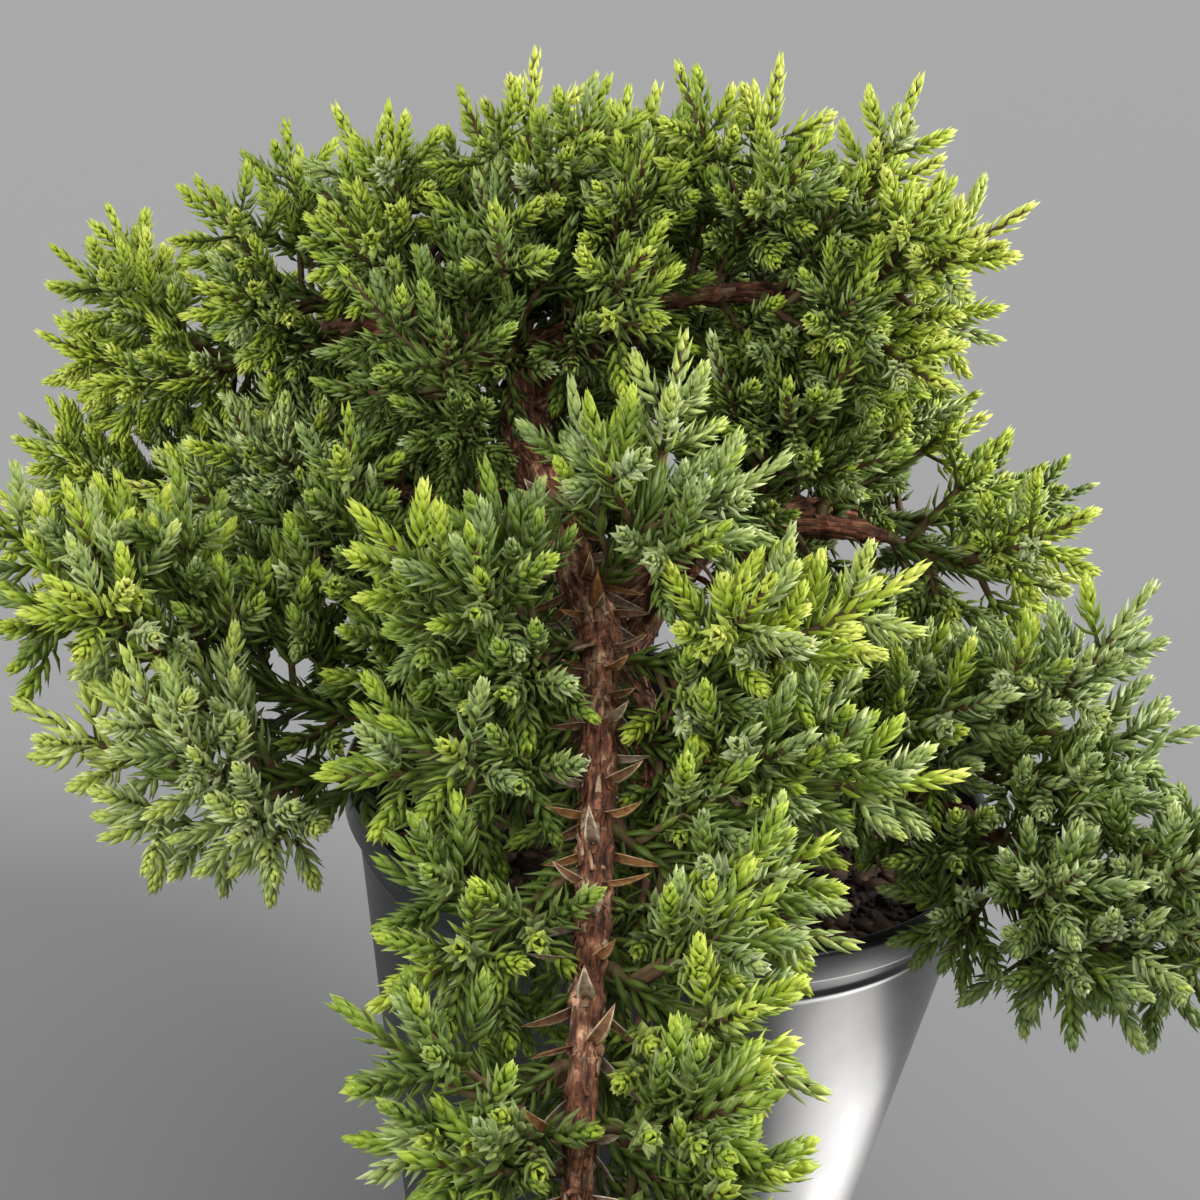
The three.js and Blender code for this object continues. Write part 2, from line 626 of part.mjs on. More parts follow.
function addMasses() {
  for (const name of Object.keys(LIMBS)) {
    addCurveBeads(limbCurve(name), 1, LIMB_PARTS, (share) => limbRadius(name, share), name);
  }
  const grown = Object.entries(MASSES).map(([name, mass], index) => {
    const random = seededNumbers(1009 + 97 * index);
    const stem = planStem(mass, random);
    addCurveBeads(stem.curve, stem.stop, STEM_PARTS, (share) => lerp(...STEM_RADII, share), name);
    return { name, mass, random, stem };
  });
  for (const { name, mass, random, stem } of grown) {
    const start = stem.curve.getPoint(stem.stop);
    const middle = stem.curve.getPoint((stem.stop + 1) / 2);
    const endPath = new THREE.QuadraticBezierCurve3(start, middle, vector(mass.tip));
    const bud = { rings: [], shoots: [], end: endPath.getPoint(BUD_LENGTH / END_LENGTH) };
    const last = stem.rings.length - 1;
    const endSide = spoke(stem.frames[last], stem.turns[last]);
    const endTwig = planTwig(endPath, 3, endSide, `${name} end`, name, random) ?? bud;
    const twigs = stem.feet.map((_, twig) => {
      const path = twigPath(stem, twig, mass.spread, random);
      const corner = stem.rings[1 + 2 * twig][twig % 3];
      const side = corner.clone().sub(stem.curve.getPoint(stem.feet[twig]));
      return planTwig(path, 4, side, `${name} ${twig}`, name, random);
    });
    addPiece(name, massGeometry(stem, twigs, endTwig), LEAF_COLOUR);
  }
}

addPot();
addSoil();
addLimbs();
addMasses();

export default group;
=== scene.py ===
# A dwarf Japanese garden juniper in a round black nursery pot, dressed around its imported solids.
import json
import math

import bpy
import numpy as np
from mathutils import Matrix, Vector

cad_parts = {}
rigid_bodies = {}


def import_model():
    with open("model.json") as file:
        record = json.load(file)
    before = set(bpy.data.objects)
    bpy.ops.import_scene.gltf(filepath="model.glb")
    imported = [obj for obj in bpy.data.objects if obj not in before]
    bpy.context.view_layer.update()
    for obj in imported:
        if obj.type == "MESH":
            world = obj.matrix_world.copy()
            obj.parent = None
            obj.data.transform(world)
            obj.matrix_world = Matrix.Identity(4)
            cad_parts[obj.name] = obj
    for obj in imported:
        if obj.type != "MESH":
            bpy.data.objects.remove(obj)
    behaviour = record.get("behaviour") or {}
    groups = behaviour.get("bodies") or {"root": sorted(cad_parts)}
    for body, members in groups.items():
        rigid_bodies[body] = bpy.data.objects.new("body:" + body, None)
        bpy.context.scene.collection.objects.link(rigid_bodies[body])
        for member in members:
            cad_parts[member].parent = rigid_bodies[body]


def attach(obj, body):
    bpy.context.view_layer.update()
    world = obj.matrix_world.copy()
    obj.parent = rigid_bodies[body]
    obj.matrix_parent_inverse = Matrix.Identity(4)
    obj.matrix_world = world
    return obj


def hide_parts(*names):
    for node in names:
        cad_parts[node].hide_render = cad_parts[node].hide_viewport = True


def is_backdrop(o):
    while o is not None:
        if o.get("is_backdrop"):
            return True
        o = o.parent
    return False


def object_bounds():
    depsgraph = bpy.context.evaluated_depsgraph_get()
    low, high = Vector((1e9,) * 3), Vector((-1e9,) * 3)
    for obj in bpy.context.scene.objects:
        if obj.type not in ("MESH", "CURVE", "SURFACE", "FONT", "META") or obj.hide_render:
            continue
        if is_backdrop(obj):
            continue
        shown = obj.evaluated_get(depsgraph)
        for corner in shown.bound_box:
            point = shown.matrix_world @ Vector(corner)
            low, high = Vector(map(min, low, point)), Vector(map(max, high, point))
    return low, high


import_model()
solid_low, solid_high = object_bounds()


# Pot
# The pot is thin black plastic, blown in one piece: a tapering wall with a collar to lift it by,
# a bead pressed out under the collar, a stepped foot, and drain holes punched in its floor.
MM = 0.001
POT_HEIGHT = 98.0
POT_RIM_RADIUS = 57.0
POT_BASE_RADIUS = 40.0
POT_WALL = 1.1
POT_FLOOR = 1.6
POT_SIDES = 180
POT_EDGE_ROUNDING = 0.45
COLLAR_HEIGHT = 5.5
COLLAR_STEP = 1.4
BEAD_DROP = 10.0
BEAD_OUT = 0.5
FOOT_HEIGHT = 4.0
FOOT_IN = 1.4
DRAIN_HOLES = 6
DRAIN_RADIUS = 4.0
DRAIN_RING_RADIUS = 27.0
POT_BLACK = (0.010, 0.0105, 0.0115)


def mesh_piece(name, points, face_sets, finishes, worn=None, smooth=True, grain=None):
    """One piece of the plant, from points in millimetres and arrays of triangles or quads.

    worn says which finish each face wears, and grain gives each point its place in the bark's grain.
    """
    mesh = bpy.data.meshes.new(name)
    face_sets = [np.asarray(faces) for faces in face_sets if len(faces)]
    corners = np.concatenate([faces.ravel() for faces in face_sets]).astype(np.int32)
    sizes = np.concatenate([np.full(len(faces), faces.shape[1]) for faces in face_sets])
    starts = np.concatenate([[0], np.cumsum(sizes)[:-1]]).astype(np.int32)
    mesh.vertices.add(len(points))
    mesh.vertices.foreach_set("co", (np.asarray(points, float) * MM).astype(np.float32).ravel())
    mesh.loops.add(len(corners))
    mesh.loops.foreach_set("vertex_index", corners)
    mesh.polygons.add(len(sizes))
    mesh.polygons.foreach_set("loop_start", starts)
    if worn is not None:
        mesh.polygons.foreach_set("material_index", np.asarray(worn, np.int32))
    mesh.update(calc_edges=True)
    if grain is not None:
        held = mesh.attributes.new("grain", "FLOAT_VECTOR", "POINT")
        held.data.foreach_set("vector", (np.asarray(grain, float) * MM).astype(np.float32).ravel())
    if smooth:
        mesh.shade_smooth()
    for finish in finishes:
        mesh.materials.append(finish)
    piece = bpy.data.objects.new(name, mesh)
    bpy.context.scene.collection.objects.link(piece)
    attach(piece, "root")
    return piece


def plain_finish(name, colour, roughness, specular):
    finish = bpy.data.materials.new(name)
    finish.use_nodes = True
    shader = finish.node_tree.nodes["Principled BSDF"]
    shader.inputs["Base Color"].default_value = (*colour, 1.0)
    shader.inputs["Roughness"].default_value = roughness
    shader.inputs["Specular IOR Level"].default_value = specular
    return finish


def add_node(finish, kind, settings=None, inputs=None):
    """A node with its settings, and its inputs given as plain values or as another node's output."""
    made = finish.node_tree.nodes.new(kind)
    for key, value in (settings or {}).items():
        setattr(made, key, value)
    for key, value in (inputs or {}).items():
        if isinstance(value, bpy.types.NodeSocket):
            finish.node_tree.links.new(value, made.inputs[key])
        else:
            made.inputs[key].default_value = value
    return made


def wear(finish, **outputs):
    """Joins node outputs to the shader's sockets, such as Base_Color to Base Color."""
    shader = finish.node_tree.nodes["Principled BSDF"]
    for key, output in outputs.items():
        finish.node_tree.links.new(output, shader.inputs[key.replace("_", " ")])


def colour_steps(finish, factor, steps):
    """A colour ramp from (position, colour) steps."""
    ramp = add_node(finish, "ShaderNodeValToRGB", inputs={"Fac": factor})
    elements = ramp.color_ramp.elements
    while len(elements) < len(steps):
        elements.new(0.5)
    for element, (position, colour) in zip(elements, steps):
        element.position = position
        element.color = (*colour, 1.0)
    return ramp.outputs["Color"]


def noise(finish, scale, detail, roughness=0.5, at=None):
    """An uneven factor over the piece's own place, or over another vector."""
    if at is None:
        nodes = finish.node_tree.nodes
        at = (nodes.get("Texture Coordinate") or add_node(finish, "ShaderNodeTexCoord")).outputs["Object"]
    return add_node(finish, "ShaderNodeTexNoise", inputs={
        "Vector": at, "Scale": scale, "Detail": detail, "Roughness": roughness}).outputs["Fac"]


def raised(finish, height, strength, distance):
    """Gives a finish relief from a height."""
    bump = add_node(finish, "ShaderNodeBump", inputs={
        "Height": height, "Strength": strength, "Distance": distance})
    wear(finish, Normal=bump.outputs["Normal"])


def wall_radius(z):
    """The radius of the pot's outer wall at a height."""
    return POT_BASE_RADIUS + (POT_RIM_RADIUS - COLLAR_STEP - POT_BASE_RADIUS) * z / POT_HEIGHT


def rounded(outline, radius, steps=4):
    """The outline with each inner corner drawn as a short curve."""
    made = [outline[0]]
    for before, corner, after in zip(outline, outline[1:], outline[2:]):
        before, corner, after = (np.asarray(point, float) for point in (before, corner, after))
        cut_in = min(radius, 0.45 * np.linalg.norm(before - corner))
        cut_out = min(radius, 0.45 * np.linalg.norm(after - corner))
        start = corner + (before - corner) / np.linalg.norm(before - corner) * cut_in
        end = corner + (after - corner) / np.linalg.norm(after - corner) * cut_out
        for share in np.linspace(0, 1, steps):
            low = start + (corner - start) * share
            high = corner + (end - corner) * share
            made.append(tuple(low + (high - low) * share))
    return [*made, outline[-1]]


def tube_faces(rings, sides):
    """The quads round a tube, and the triangles to its first and last points, which close its ends."""
    around = np.arange(sides)
    following = (around + 1) % sides
    lows = 1 + sides * np.arange(rings - 1)[:, None]
    quads = np.stack([lows + around, lows + following, lows + sides + following, lows + sides + around], 2)
    last = 1 + (rings - 1) * sides
    ends = [np.stack([np.zeros(sides, int), 1 + following, 1 + around], 1),
            np.stack([np.full(sides, last + sides), last + around, last + following], 1)]
    return quads.reshape(-1, 4), np.concatenate(ends)


def turned(outline, sides):
    """A closed turned shape whose outline starts and ends on the axis."""
    angles = np.arange(sides) * 2 * np.pi / sides
    rings = [
        np.stack([r * np.cos(angles), r * np.sin(angles), np.full(sides, z)], 1)
        for r, z in outline[1:-1]
    ]
    points = np.concatenate([[[0, 0, outline[0][1]]], *rings, [[0, 0, outline[-1][1]]]])
    return points, tube_faces(len(rings), sides)


collar_z = POT_HEIGHT - COLLAR_HEIGHT
bead_z = POT_HEIGHT - BEAD_DROP
pot_outline = [
    (0, 0),
    (POT_BASE_RADIUS - FOOT_IN, 0),
    (wall_radius(FOOT_HEIGHT) - FOOT_IN, FOOT_HEIGHT),
    (wall_radius(FOOT_HEIGHT + 1), FOOT_HEIGHT + 1),
    (wall_radius(bead_z - 1), bead_z - 1),
    (wall_radius(bead_z) + BEAD_OUT, bead_z),
    (wall_radius(bead_z + 1), bead_z + 1),
    (wall_radius(collar_z), collar_z),
    (POT_RIM_RADIUS - 0.3, collar_z),
    (POT_RIM_RADIUS, POT_HEIGHT - 0.5),
    (POT_RIM_RADIUS - 0.5, POT_HEIGHT),
    (wall_radius(POT_HEIGHT) - POT_WALL, POT_HEIGHT),
    (wall_radius(bead_z) - POT_WALL, bead_z),
    (wall_radius(FOOT_HEIGHT + 1) - POT_WALL - FOOT_IN, FOOT_HEIGHT + 1),
    (POT_BASE_RADIUS - FOOT_IN - POT_WALL, POT_FLOOR),
    (0, POT_FLOOR),
]
pot_finish = plain_finish("black_pot_plastic", POT_BLACK, 0.3, 0.3)
pot_dust = noise(pot_finish, 45.0, 5.0, 0.7)
pot_rough = add_node(pot_finish, "ShaderNodeMapRange", inputs={
    "Value": pot_dust, "From Min": 0.3, "From Max": 0.75, "To Min": 0.27, "To Max": 0.4})
pot_relief = add_node(pot_finish, "ShaderNodeMath", {"operation": "MULTIPLY_ADD"}, {
    0: noise(pot_finish, 260.0, 6.0, 0.65), 1: 0.06, 2: noise(pot_finish, 24.0, 1.0)})
raised(pot_finish, pot_relief.outputs[0], 0.5, 0.0006)
wear(pot_finish, Roughness=pot_rough.outputs["Result"], Base_Color=colour_steps(pot_finish, pot_dust, [
    (0.0, POT_BLACK), (0.66, (0.012, 0.0125, 0.013)), (0.85, (0.03, 0.028, 0.025))]))
pot_points, pot_faces = turned(rounded(pot_outline, POT_EDGE_ROUNDING), POT_SIDES)
pot = mesh_piece("nursery_pot", pot_points, pot_faces, [pot_finish])
for hole in range(DRAIN_HOLES):
    angle = (hole + 0.5) * 2 * math.pi / DRAIN_HOLES
    spot = (DRAIN_RING_RADIUS * math.cos(angle) * MM, DRAIN_RING_RADIUS * math.sin(angle) * MM, 0)
    bpy.ops.mesh.primitive_cylinder_add(
        vertices=32, radius=DRAIN_RADIUS * MM, depth=4 * POT_FLOOR * MM, location=spot)
    punch = bpy.context.object
    cut = pot.modifiers.new("drain_hole", "BOOLEAN")
    cut.operation = "DIFFERENCE"
    cut.solver = "EXACT"
    cut.object = punch
    bpy.context.view_layer.objects.active = pot
    bpy.ops.object.modifier_apply(modifier="drain_hole")
    bpy.data.objects.remove(punch)
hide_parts("pot")


# Soil
# The potting mix is moist bark and peat, nearly black, heaped a little round the trunk. Flakes of
# composted bark and small crumbs lie loose on it.
SOIL_EDGE_Z = 85.5
SOIL_TOP_Z = 89.0
SOIL_CROWN_RADIUS = 13.0
SOIL_SIDES = 220
BARK_CHIPS = 620
CRUMBS = 2600
LOOSE_MARGIN = 3.5
soil_edge = wall_radius(SOIL_EDGE_Z) - POT_WALL


def waves(seed, places, count, finest, coarsest):
    """Smooth uneven heights over places in space, from -1 to 1 or so."""
    draw = np.random.default_rng(seed)
    total = np.zeros(len(places))
    for _ in range(count):
        heading = draw.normal(size=3)
        heading *= 2 * np.pi / (draw.uniform(finest, coarsest) * np.linalg.norm(heading))
        total += np.sin(places @ heading + draw.uniform(0, 2 * np.pi))
    return total / math.sqrt(count)


def soil_height(x, y):
    rise = np.clip((soil_edge - np.hypot(x, y)) / (soil_edge - SOIL_CROWN_RADIUS), 0, 1)
    places = np.stack([x, y, np.zeros_like(x)], 1)
    lumps = 0.75 * waves(31, places, 16, 9.0, 22.0) + 0.4 * waves(32, places, 24, 2.5, 6.0)
    return SOIL_EDGE_Z + (SOIL_TOP_Z - SOIL_EDGE_Z) * rise**0.8 + lumps - 0.4


soil_rings = np.linspace(0, soil_edge - 0.2, 76)[1:]
soil_outline = [(0, SOIL_TOP_Z), *[(r, SOIL_TOP_Z) for r in soil_rings]]
soil_outline += [(POT_BASE_RADIUS - 4, POT_FLOOR + 0.4), (0, POT_FLOOR + 0.4)]
soil_points, soil_faces = turned(soil_outline, SOIL_SIDES)
soil_top = 1 + len(soil_rings) * SOIL_SIDES
soil_points[:soil_top, 2] = soil_height(soil_points[:soil_top, 0], soil_points[:soil_top, 1])
soil_faces = [faces[:, ::-1] for faces in soil_faces]
soil_finish = plain_finish("moist_potting_mix", (0.02, 0.013, 0.009), 0.85, 0.35)
wear(soil_finish, Base_Color=colour_steps(soil_finish, noise(soil_finish, 900.0, 8.0, 0.7), [
    (0.3, (0.007, 0.0045, 0.003)), (0.55, (0.02, 0.012, 0.0075)), (0.8, (0.07, 0.042, 0.024))]))
soil_cells = add_node(soil_finish, "ShaderNodeTexVoronoi", inputs={
    "Vector": soil_finish.node_tree.nodes["Texture Coordinate"].outputs["Object"], "Scale": 620.0})
raised(soil_finish, soil_cells.outputs["Distance"], 0.9, 0.0012)
soil = mesh_piece("potting_mix", soil_points, soil_faces, [soil_finish])
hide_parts("soil")


def copied(faces, points_each, count):
    """The faces of one small shape, numbered on for many copies of it."""
    return (faces[None] + points_each * np.arange(count)[:, None, None]).reshape(-1, faces.shape[1])


def mottled_finish(name, colour, roughness, specular, scale, detail, steps):
    """A finish whose colour runs unevenly through a few steps."""
    finish = plain_finish(name, colour, roughness, specular)
    wear(finish, Base_Color=colour_steps(finish, noise(finish, scale, detail), steps))
    return finish


def loose_bits(seed, count, sizes, flatness):
    """Small uneven lumps lying on the soil: boxes with their corners knocked about."""
    draw = np.random.default_rng(seed)
    radius = (soil_edge - LOOSE_MARGIN) * np.sqrt(draw.uniform(0.03, 1, count))
    bearing = draw.uniform(0, 2 * np.pi, count)
    x, y = radius * np.cos(bearing), radius * np.sin(bearing)
    z = soil_height(x, y) + 0.1
    corners = np.array([[a, b, c] for c in (-1, 1) for a, b in ((-1, -1), (1, -1), (1, 1), (-1, 1))], float)
    size = draw.uniform(*sizes, (count, 1)) * np.stack(
        [draw.uniform(0.7, 1.5, count), draw.uniform(0.5, 1, count), draw.uniform(*flatness, count)], 1)
    shape = corners[None] * (1 + draw.uniform(-0.35, 0.1, (count, 8, 3))) * size[:, None] / 2
    turn, tilt = draw.uniform(0, 2 * np.pi, count), draw.normal(0, 0.35, count)
    cos_t, sin_t = np.cos(tilt)[:, None], np.sin(tilt)[:, None]
    sx, sy, sz = shape[..., 0], shape[..., 1], shape[..., 2]
    sx, sz = sx * cos_t - sz * sin_t, sx * sin_t + sz * cos_t
    cos_a, sin_a = np.cos(turn)[:, None], np.sin(turn)[:, None]
    points = np.stack([sx * cos_a - sy * sin_a + x[:, None], sx * sin_a + sy * cos_a + y[:, None],
                       sz + z[:, None]], 2).reshape(-1, 3)
    box = np.array([[0, 3, 2, 1], [4, 5, 6, 7], [0, 1, 5, 4], [1, 2, 6, 5], [2, 3, 7, 6], [3, 0, 4, 7]])
    return points, copied(box, 8, count)


chip_finish = mottled_finish("composted_bark", (0.06, 0.032, 0.017), 0.75, 0.3, 300.0, 5.0, [
    (0.3, (0.018, 0.010, 0.006)), (0.55, (0.06, 0.032, 0.017)), (0.75, (0.13, 0.075, 0.042))])
crumb_finish = mottled_finish("dark_peat_crumbs", (0.018, 0.011, 0.007), 0.9, 0.3, 520.0, 5.0, [
    (0.35, (0.009, 0.0055, 0.0035)), (0.6, (0.024, 0.014, 0.009)), (0.75, (0.055, 0.034, 0.021))])
for name, seed, count, sizes, flatness, bit_finish in (
    ("bark_chips", 41, BARK_CHIPS, (1.8, 5.2), (0.25, 0.6), chip_finish),
    ("peat_crumbs", 42, CRUMBS, (0.7, 1.9), (0.5, 1.0), crumb_finish),
):
    bit_points, bit_faces = loose_bits(seed, count, sizes, flatness)
    mesh_piece(name, bit_points, [bit_faces], [bit_finish], smooth=False)


# Trunk and boughs
# The wood is young juniper: a short leaning trunk and long arching boughs under thin red-brown
# bark that splits along its length and flakes, with a swollen ring at each old whorl of needles.
LIMBS = {
    "trunk": ([[-5, 10, 89.3], [-5, 10, 116], [-30, 6, 138], [-34, 20, 172]], [5.0, 2.4], None),
    "bough_front_upper": (
        [[-32, 9, 159], [-31, -6, 158], [-20, -27, 148], [-15, -40, 141]], [3.2, 2.7], "trunk"),
    "bough_front_lower": (
        [[-15, -41, 140.6], [-13, -62, 130], [-12, -95, 114], [-11, -140, 108]], [2.6, 1.5], None),
    "bough_left_front": (
        [[-17, 4, 117], [-26, -8, 121], [-38, -28, 120], [-52, -45, 117]], [2.6, 1.7], "trunk"),
    "bough_left_back": (
        [[-37, 19, 165], [-46, 24, 170], [-60, 36, 167], [-76, 48, 158]], [2.3, 1.5], "trunk"),
    "bough_left_low": (
        [[-24, 15, 131], [-38, 24, 137], [-60, 38, 134], [-84, 50, 126]], [2.5, 1.6], "trunk"),
    "bough_right_back": (
        [[-12, 11, 127], [-2, 10, 141], [14, 8, 147], [32, 9, 144]], [2.5, 1.6], "trunk"),
    "bough_right_front": (
        [[-3, 4, 104], [6, -6, 114], [26, -22, 117], [52, -37, 112]], [2.8, 1.7], "trunk"),
    "bough_right_top": (
        [[-30, 17, 168], [-22, 16, 177], [-6, 18, 182], [12, 18, 182]], [2.1, 1.4], "trunk"),
    "bough_back": (
        [[-29, 20, 160], [-26, 36, 172], [-18, 52, 168], [-12, 68, 158]], [2.3, 1.5], "trunk"),
    "bough_back_right": (
        [[-8, 16, 117], [0, 28, 136], [15, 40, 140], [32, 48, 134]], [2.5, 1.6], "trunk"),
    "bough_back_low": (
        [[-9, 19, 106], [-13, 32, 122], [-18, 48, 122], [-24, 60, 115]], [2.2, 1.5], "trunk"),
}
LIMB_SIDES = 8
TRUNK_FLARE = 3.2
FLARE_SHARE = 0.22
GAP = 0.3
SEAT_SAMPLES = 200
SEAT_PASSES = 6
FIRST_SIDE = np.array([0.31, 0.87, 0.39])
BARK_STEP = 0.55
BARK_SEED = 7
BOUGH_FOOT_SEED = 70
TRUNK_BARK_SIDES = 64
BOUGH_BARK_SIDES = 36
GRAIN_STRETCH = 0.16
BARK_END_TAPER = 0.38
BARK_TAPER_START = 0.86
NODE_STEP = 6.2


def unit(vector):
    return vector / np.linalg.norm(vector)


def mixed(low, high, share):
    return low + (high - low) * share


def curve_points(controls, shares):
    """Points of a bent line through the air at shares of the way along it."""
    shares = np.asarray(shares, float)[..., None]
    points = [np.asarray(point, float) for point in controls]
    while len(points) > 1:
        points = [low + (high - low) * shares for low, high in zip(points, points[1:])]
    return points[0]


def curve_heading(controls, share):
    low, high = max(share - 0.0001, 0), min(share + 0.0001, 1)
    return unit(curve_points(controls, high) - curve_points(controls, low))


def curve_length(controls):
    points = curve_points(controls, np.linspace(0, 1, 201))
    return float(np.linalg.norm(np.diff(points, axis=0), axis=1).sum())


def carried_frames(controls, shares, first_side):
    """The cross directions at each share of a bent line, carried along it without a twist."""
    side = np.asarray(first_side, float)
    frames = []
    for share in shares:
        along = curve_heading(controls, share)
        side = unit(side - along * side.dot(along))
        frames.append((curve_points(controls, share), along, side, np.cross(along, side)))
    return frames


def cross_at(controls, share):
    return carried_frames(controls, [share], FIRST_SIDE)[0]


def spoke(cross, angle):
    _, _, side, across = cross
    return side * math.cos(angle) + across * math.sin(angle)


def ring_at(cross, radius, sides, turn):
    return [cross[0] + radius * spoke(cross, turn + corner * 2 * math.pi / sides) for corner in range(sides)]


def limb_radius(name, share):
    start, end = LIMBS[name][1]
    flare = TRUNK_FLARE * np.maximum(0, 1 - share / FLARE_SHARE) ** 2 if name == "trunk" else 0
    return mixed(start, end, share) + flare


limb_curves = {}
limb_samples = {}


def nearest_on(name, point):
    """The point of a limb's centre line nearest to a point in the air, and the gap to its bark."""
    if name not in limb_samples:
        shares = np.linspace(0, 1, SEAT_SAMPLES + 1)
        limb_samples[name] = curve_points(limb_curves[name], shares), limb_radius(name, shares)
    centres, radii = limb_samples[name]
    gaps = np.linalg.norm(centres - point, axis=1) - radii
    nearest = int(np.argmin(gaps))
    return centres[nearest], gaps[nearest]


def seated(carrier, start, outline_at):
    """Moves the foot of a limb or stem toward what carries it, until it is just clear of it."""
    place = np.array(start, float)
    inward = unit(nearest_on(carrier, place)[0] - place)
    for _ in range(SEAT_PASSES):
        gap = min(nearest_on(carrier, point)[1] for point in outline_at(place))
        place = place + inward * (gap - GAP)
    return place


for name, (controls, radii, carrier) in LIMBS.items():
    start, *others = controls
    if carrier:
        start = seated(carrier, start, lambda place: ring_at(
            cross_at([place, *others], 0), radii[0], LIMB_SIDES, 0))
    limb_curves[name] = [np.array(start, float), *[np.array(point, float) for point in others]]


def bark_relief(seed, radius, along, angle):
    """How far the bark stands out at each place: flakes, the rings at old whorls, and slow swells."""
    draw = np.random.default_rng(seed)

    def streaks(count, least_round, most_round, rate):
        total = np.zeros_like(along)
        for _ in range(count):
            turns = draw.integers(least_round, most_round + 1)
            total += np.cos(turns * angle + draw.normal(0, rate) * along + draw.uniform(0, 2 * np.pi))
        return total / math.sqrt(count)

    flakes = 1 - np.abs(streaks(10, 2, 6, 0.22))
    fine = 1 - np.abs(streaks(14, 5, 12, 0.7))
    swell = streaks(6, 1, 2, 0.12)
    since = (along / NODE_STEP + 0.06 * np.cos(angle + seed)) % 1
    whorl = np.floor(along / NODE_STEP + 0.5)
    ring = np.exp(-(((since - 0.5) * NODE_STEP / 0.8) ** 2))
    ragged = 0.07 * np.cos(3 * angle + 1.9 * whorl + seed) + 0.05 * np.cos(8 * angle + 2.7 * whorl)
    lap = ((along / NODE_STEP + 0.5 + ragged) % 1) ** 2
    pads = np.exp(-(((since - 0.45) * NODE_STEP / 1.1) ** 2))
    pads = pads * np.clip(np.cos(3 * angle + whorl * 2.1), 0, 1) ** 3
    small = np.clip(radius / 5, 0.4, 1)
    rough = small * (0.55 * flakes + 0.4 * fine + 0.3 * swell - 0.4)
    return rough + 0.34 * lap + 0.22 * ring + 0.4 * pads


def bark_mesh(seed, controls, radius_at, sides, end_taper=0.0):
    """A limb's bark as points and faces, swept along its curve, with both ends closed."""
    length = curve_length(controls)
    count = max(8, int(length / BARK_STEP))
    shares = np.linspace(0, 1, count)
    angles = np.arange(sides) * 2 * np.pi / sides
    frames = carried_frames(controls, shares, FIRST_SIDE)
    rows, straight = [], []
    for share, (centre, _, side, across) in zip(shares, frames):
        radius = float(radius_at(share))
        out = radius + bark_relief(seed, radius, np.full(sides, share * length), angles)
        out *= 1 - end_taper * max(0, (share - BARK_TAPER_START) / (1 - BARK_TAPER_START)) ** 2
        spokes = np.cos(angles)[:, None] * side + np.sin(angles)[:, None] * across
        rows.append(centre + out[:, None] * spokes)
        straight.append(np.stack([radius * np.cos(angles), radius * np.sin(angles),
                                  np.full(sides, GRAIN_STRETCH * share * length + 20 * seed)], 1))
    points = np.concatenate([[frames[0][0]], *rows, [frames[-1][0]]])
    grain = np.concatenate([straight[0][:1], *straight, straight[-1][:1]])
    return points, *tube_faces(count, sides), grain


def multiplied(finish, first, second):
    """Two colour outputs multiplied."""
    mix = add_node(finish, "ShaderNodeMix", {"data_type": "RGBA", "blend_type": "MULTIPLY"})
    sockets = {socket.identifier: socket for socket in [*mix.inputs, *mix.outputs]}
    sockets["Factor_Float"].default_value = 1.0
    finish.node_tree.links.new(first, sockets["A_Color"])
    finish.node_tree.links.new(second, sockets["B_Color"])
    return sockets["Result_Color"]


bark_finish = plain_finish("flaking_juniper_bark", (0.2, 0.1, 0.06), 0.8, 0.35)
bark_grain = add_node(bark_finish, "ShaderNodeAttribute", {"attribute_name": "grain"}).outputs["Vector"]
bark_streaks = noise(bark_finish, 1350.0, 6.0, 0.65, bark_grain)
bark_tone = colour_steps(bark_finish, noise(bark_finish, 170.0, 7.0, 0.68), [
    (0.34, (0.066, 0.022, 0.012)), (0.45, (0.165, 0.064, 0.034)), (0.54, (0.270, 0.128, 0.076)),
    (0.63, (0.490, 0.315, 0.205))])
bark_specks = colour_steps(bark_finish, bark_streaks, [
    (0.38, (0.16, 0.13, 0.12)), (0.48, (0.75, 0.70, 0.66)),
    (0.54, (1.18, 1.08, 1.0)), (0.64, (2.2, 2.1, 2.05))])
wear(bark_finish, Base_Color=multiplied(bark_finish, bark_tone, bark_specks))
bark_height = add_node(bark_finish, "ShaderNodeMath", {"operation": "MULTIPLY_ADD"}, {
    0: noise(bark_finish, 900.0, 6.0, 0.7), 1: 0.5, 2: bark_streaks})
raised(bark_finish, bark_height.outputs[0], 1.0, 0.0009)
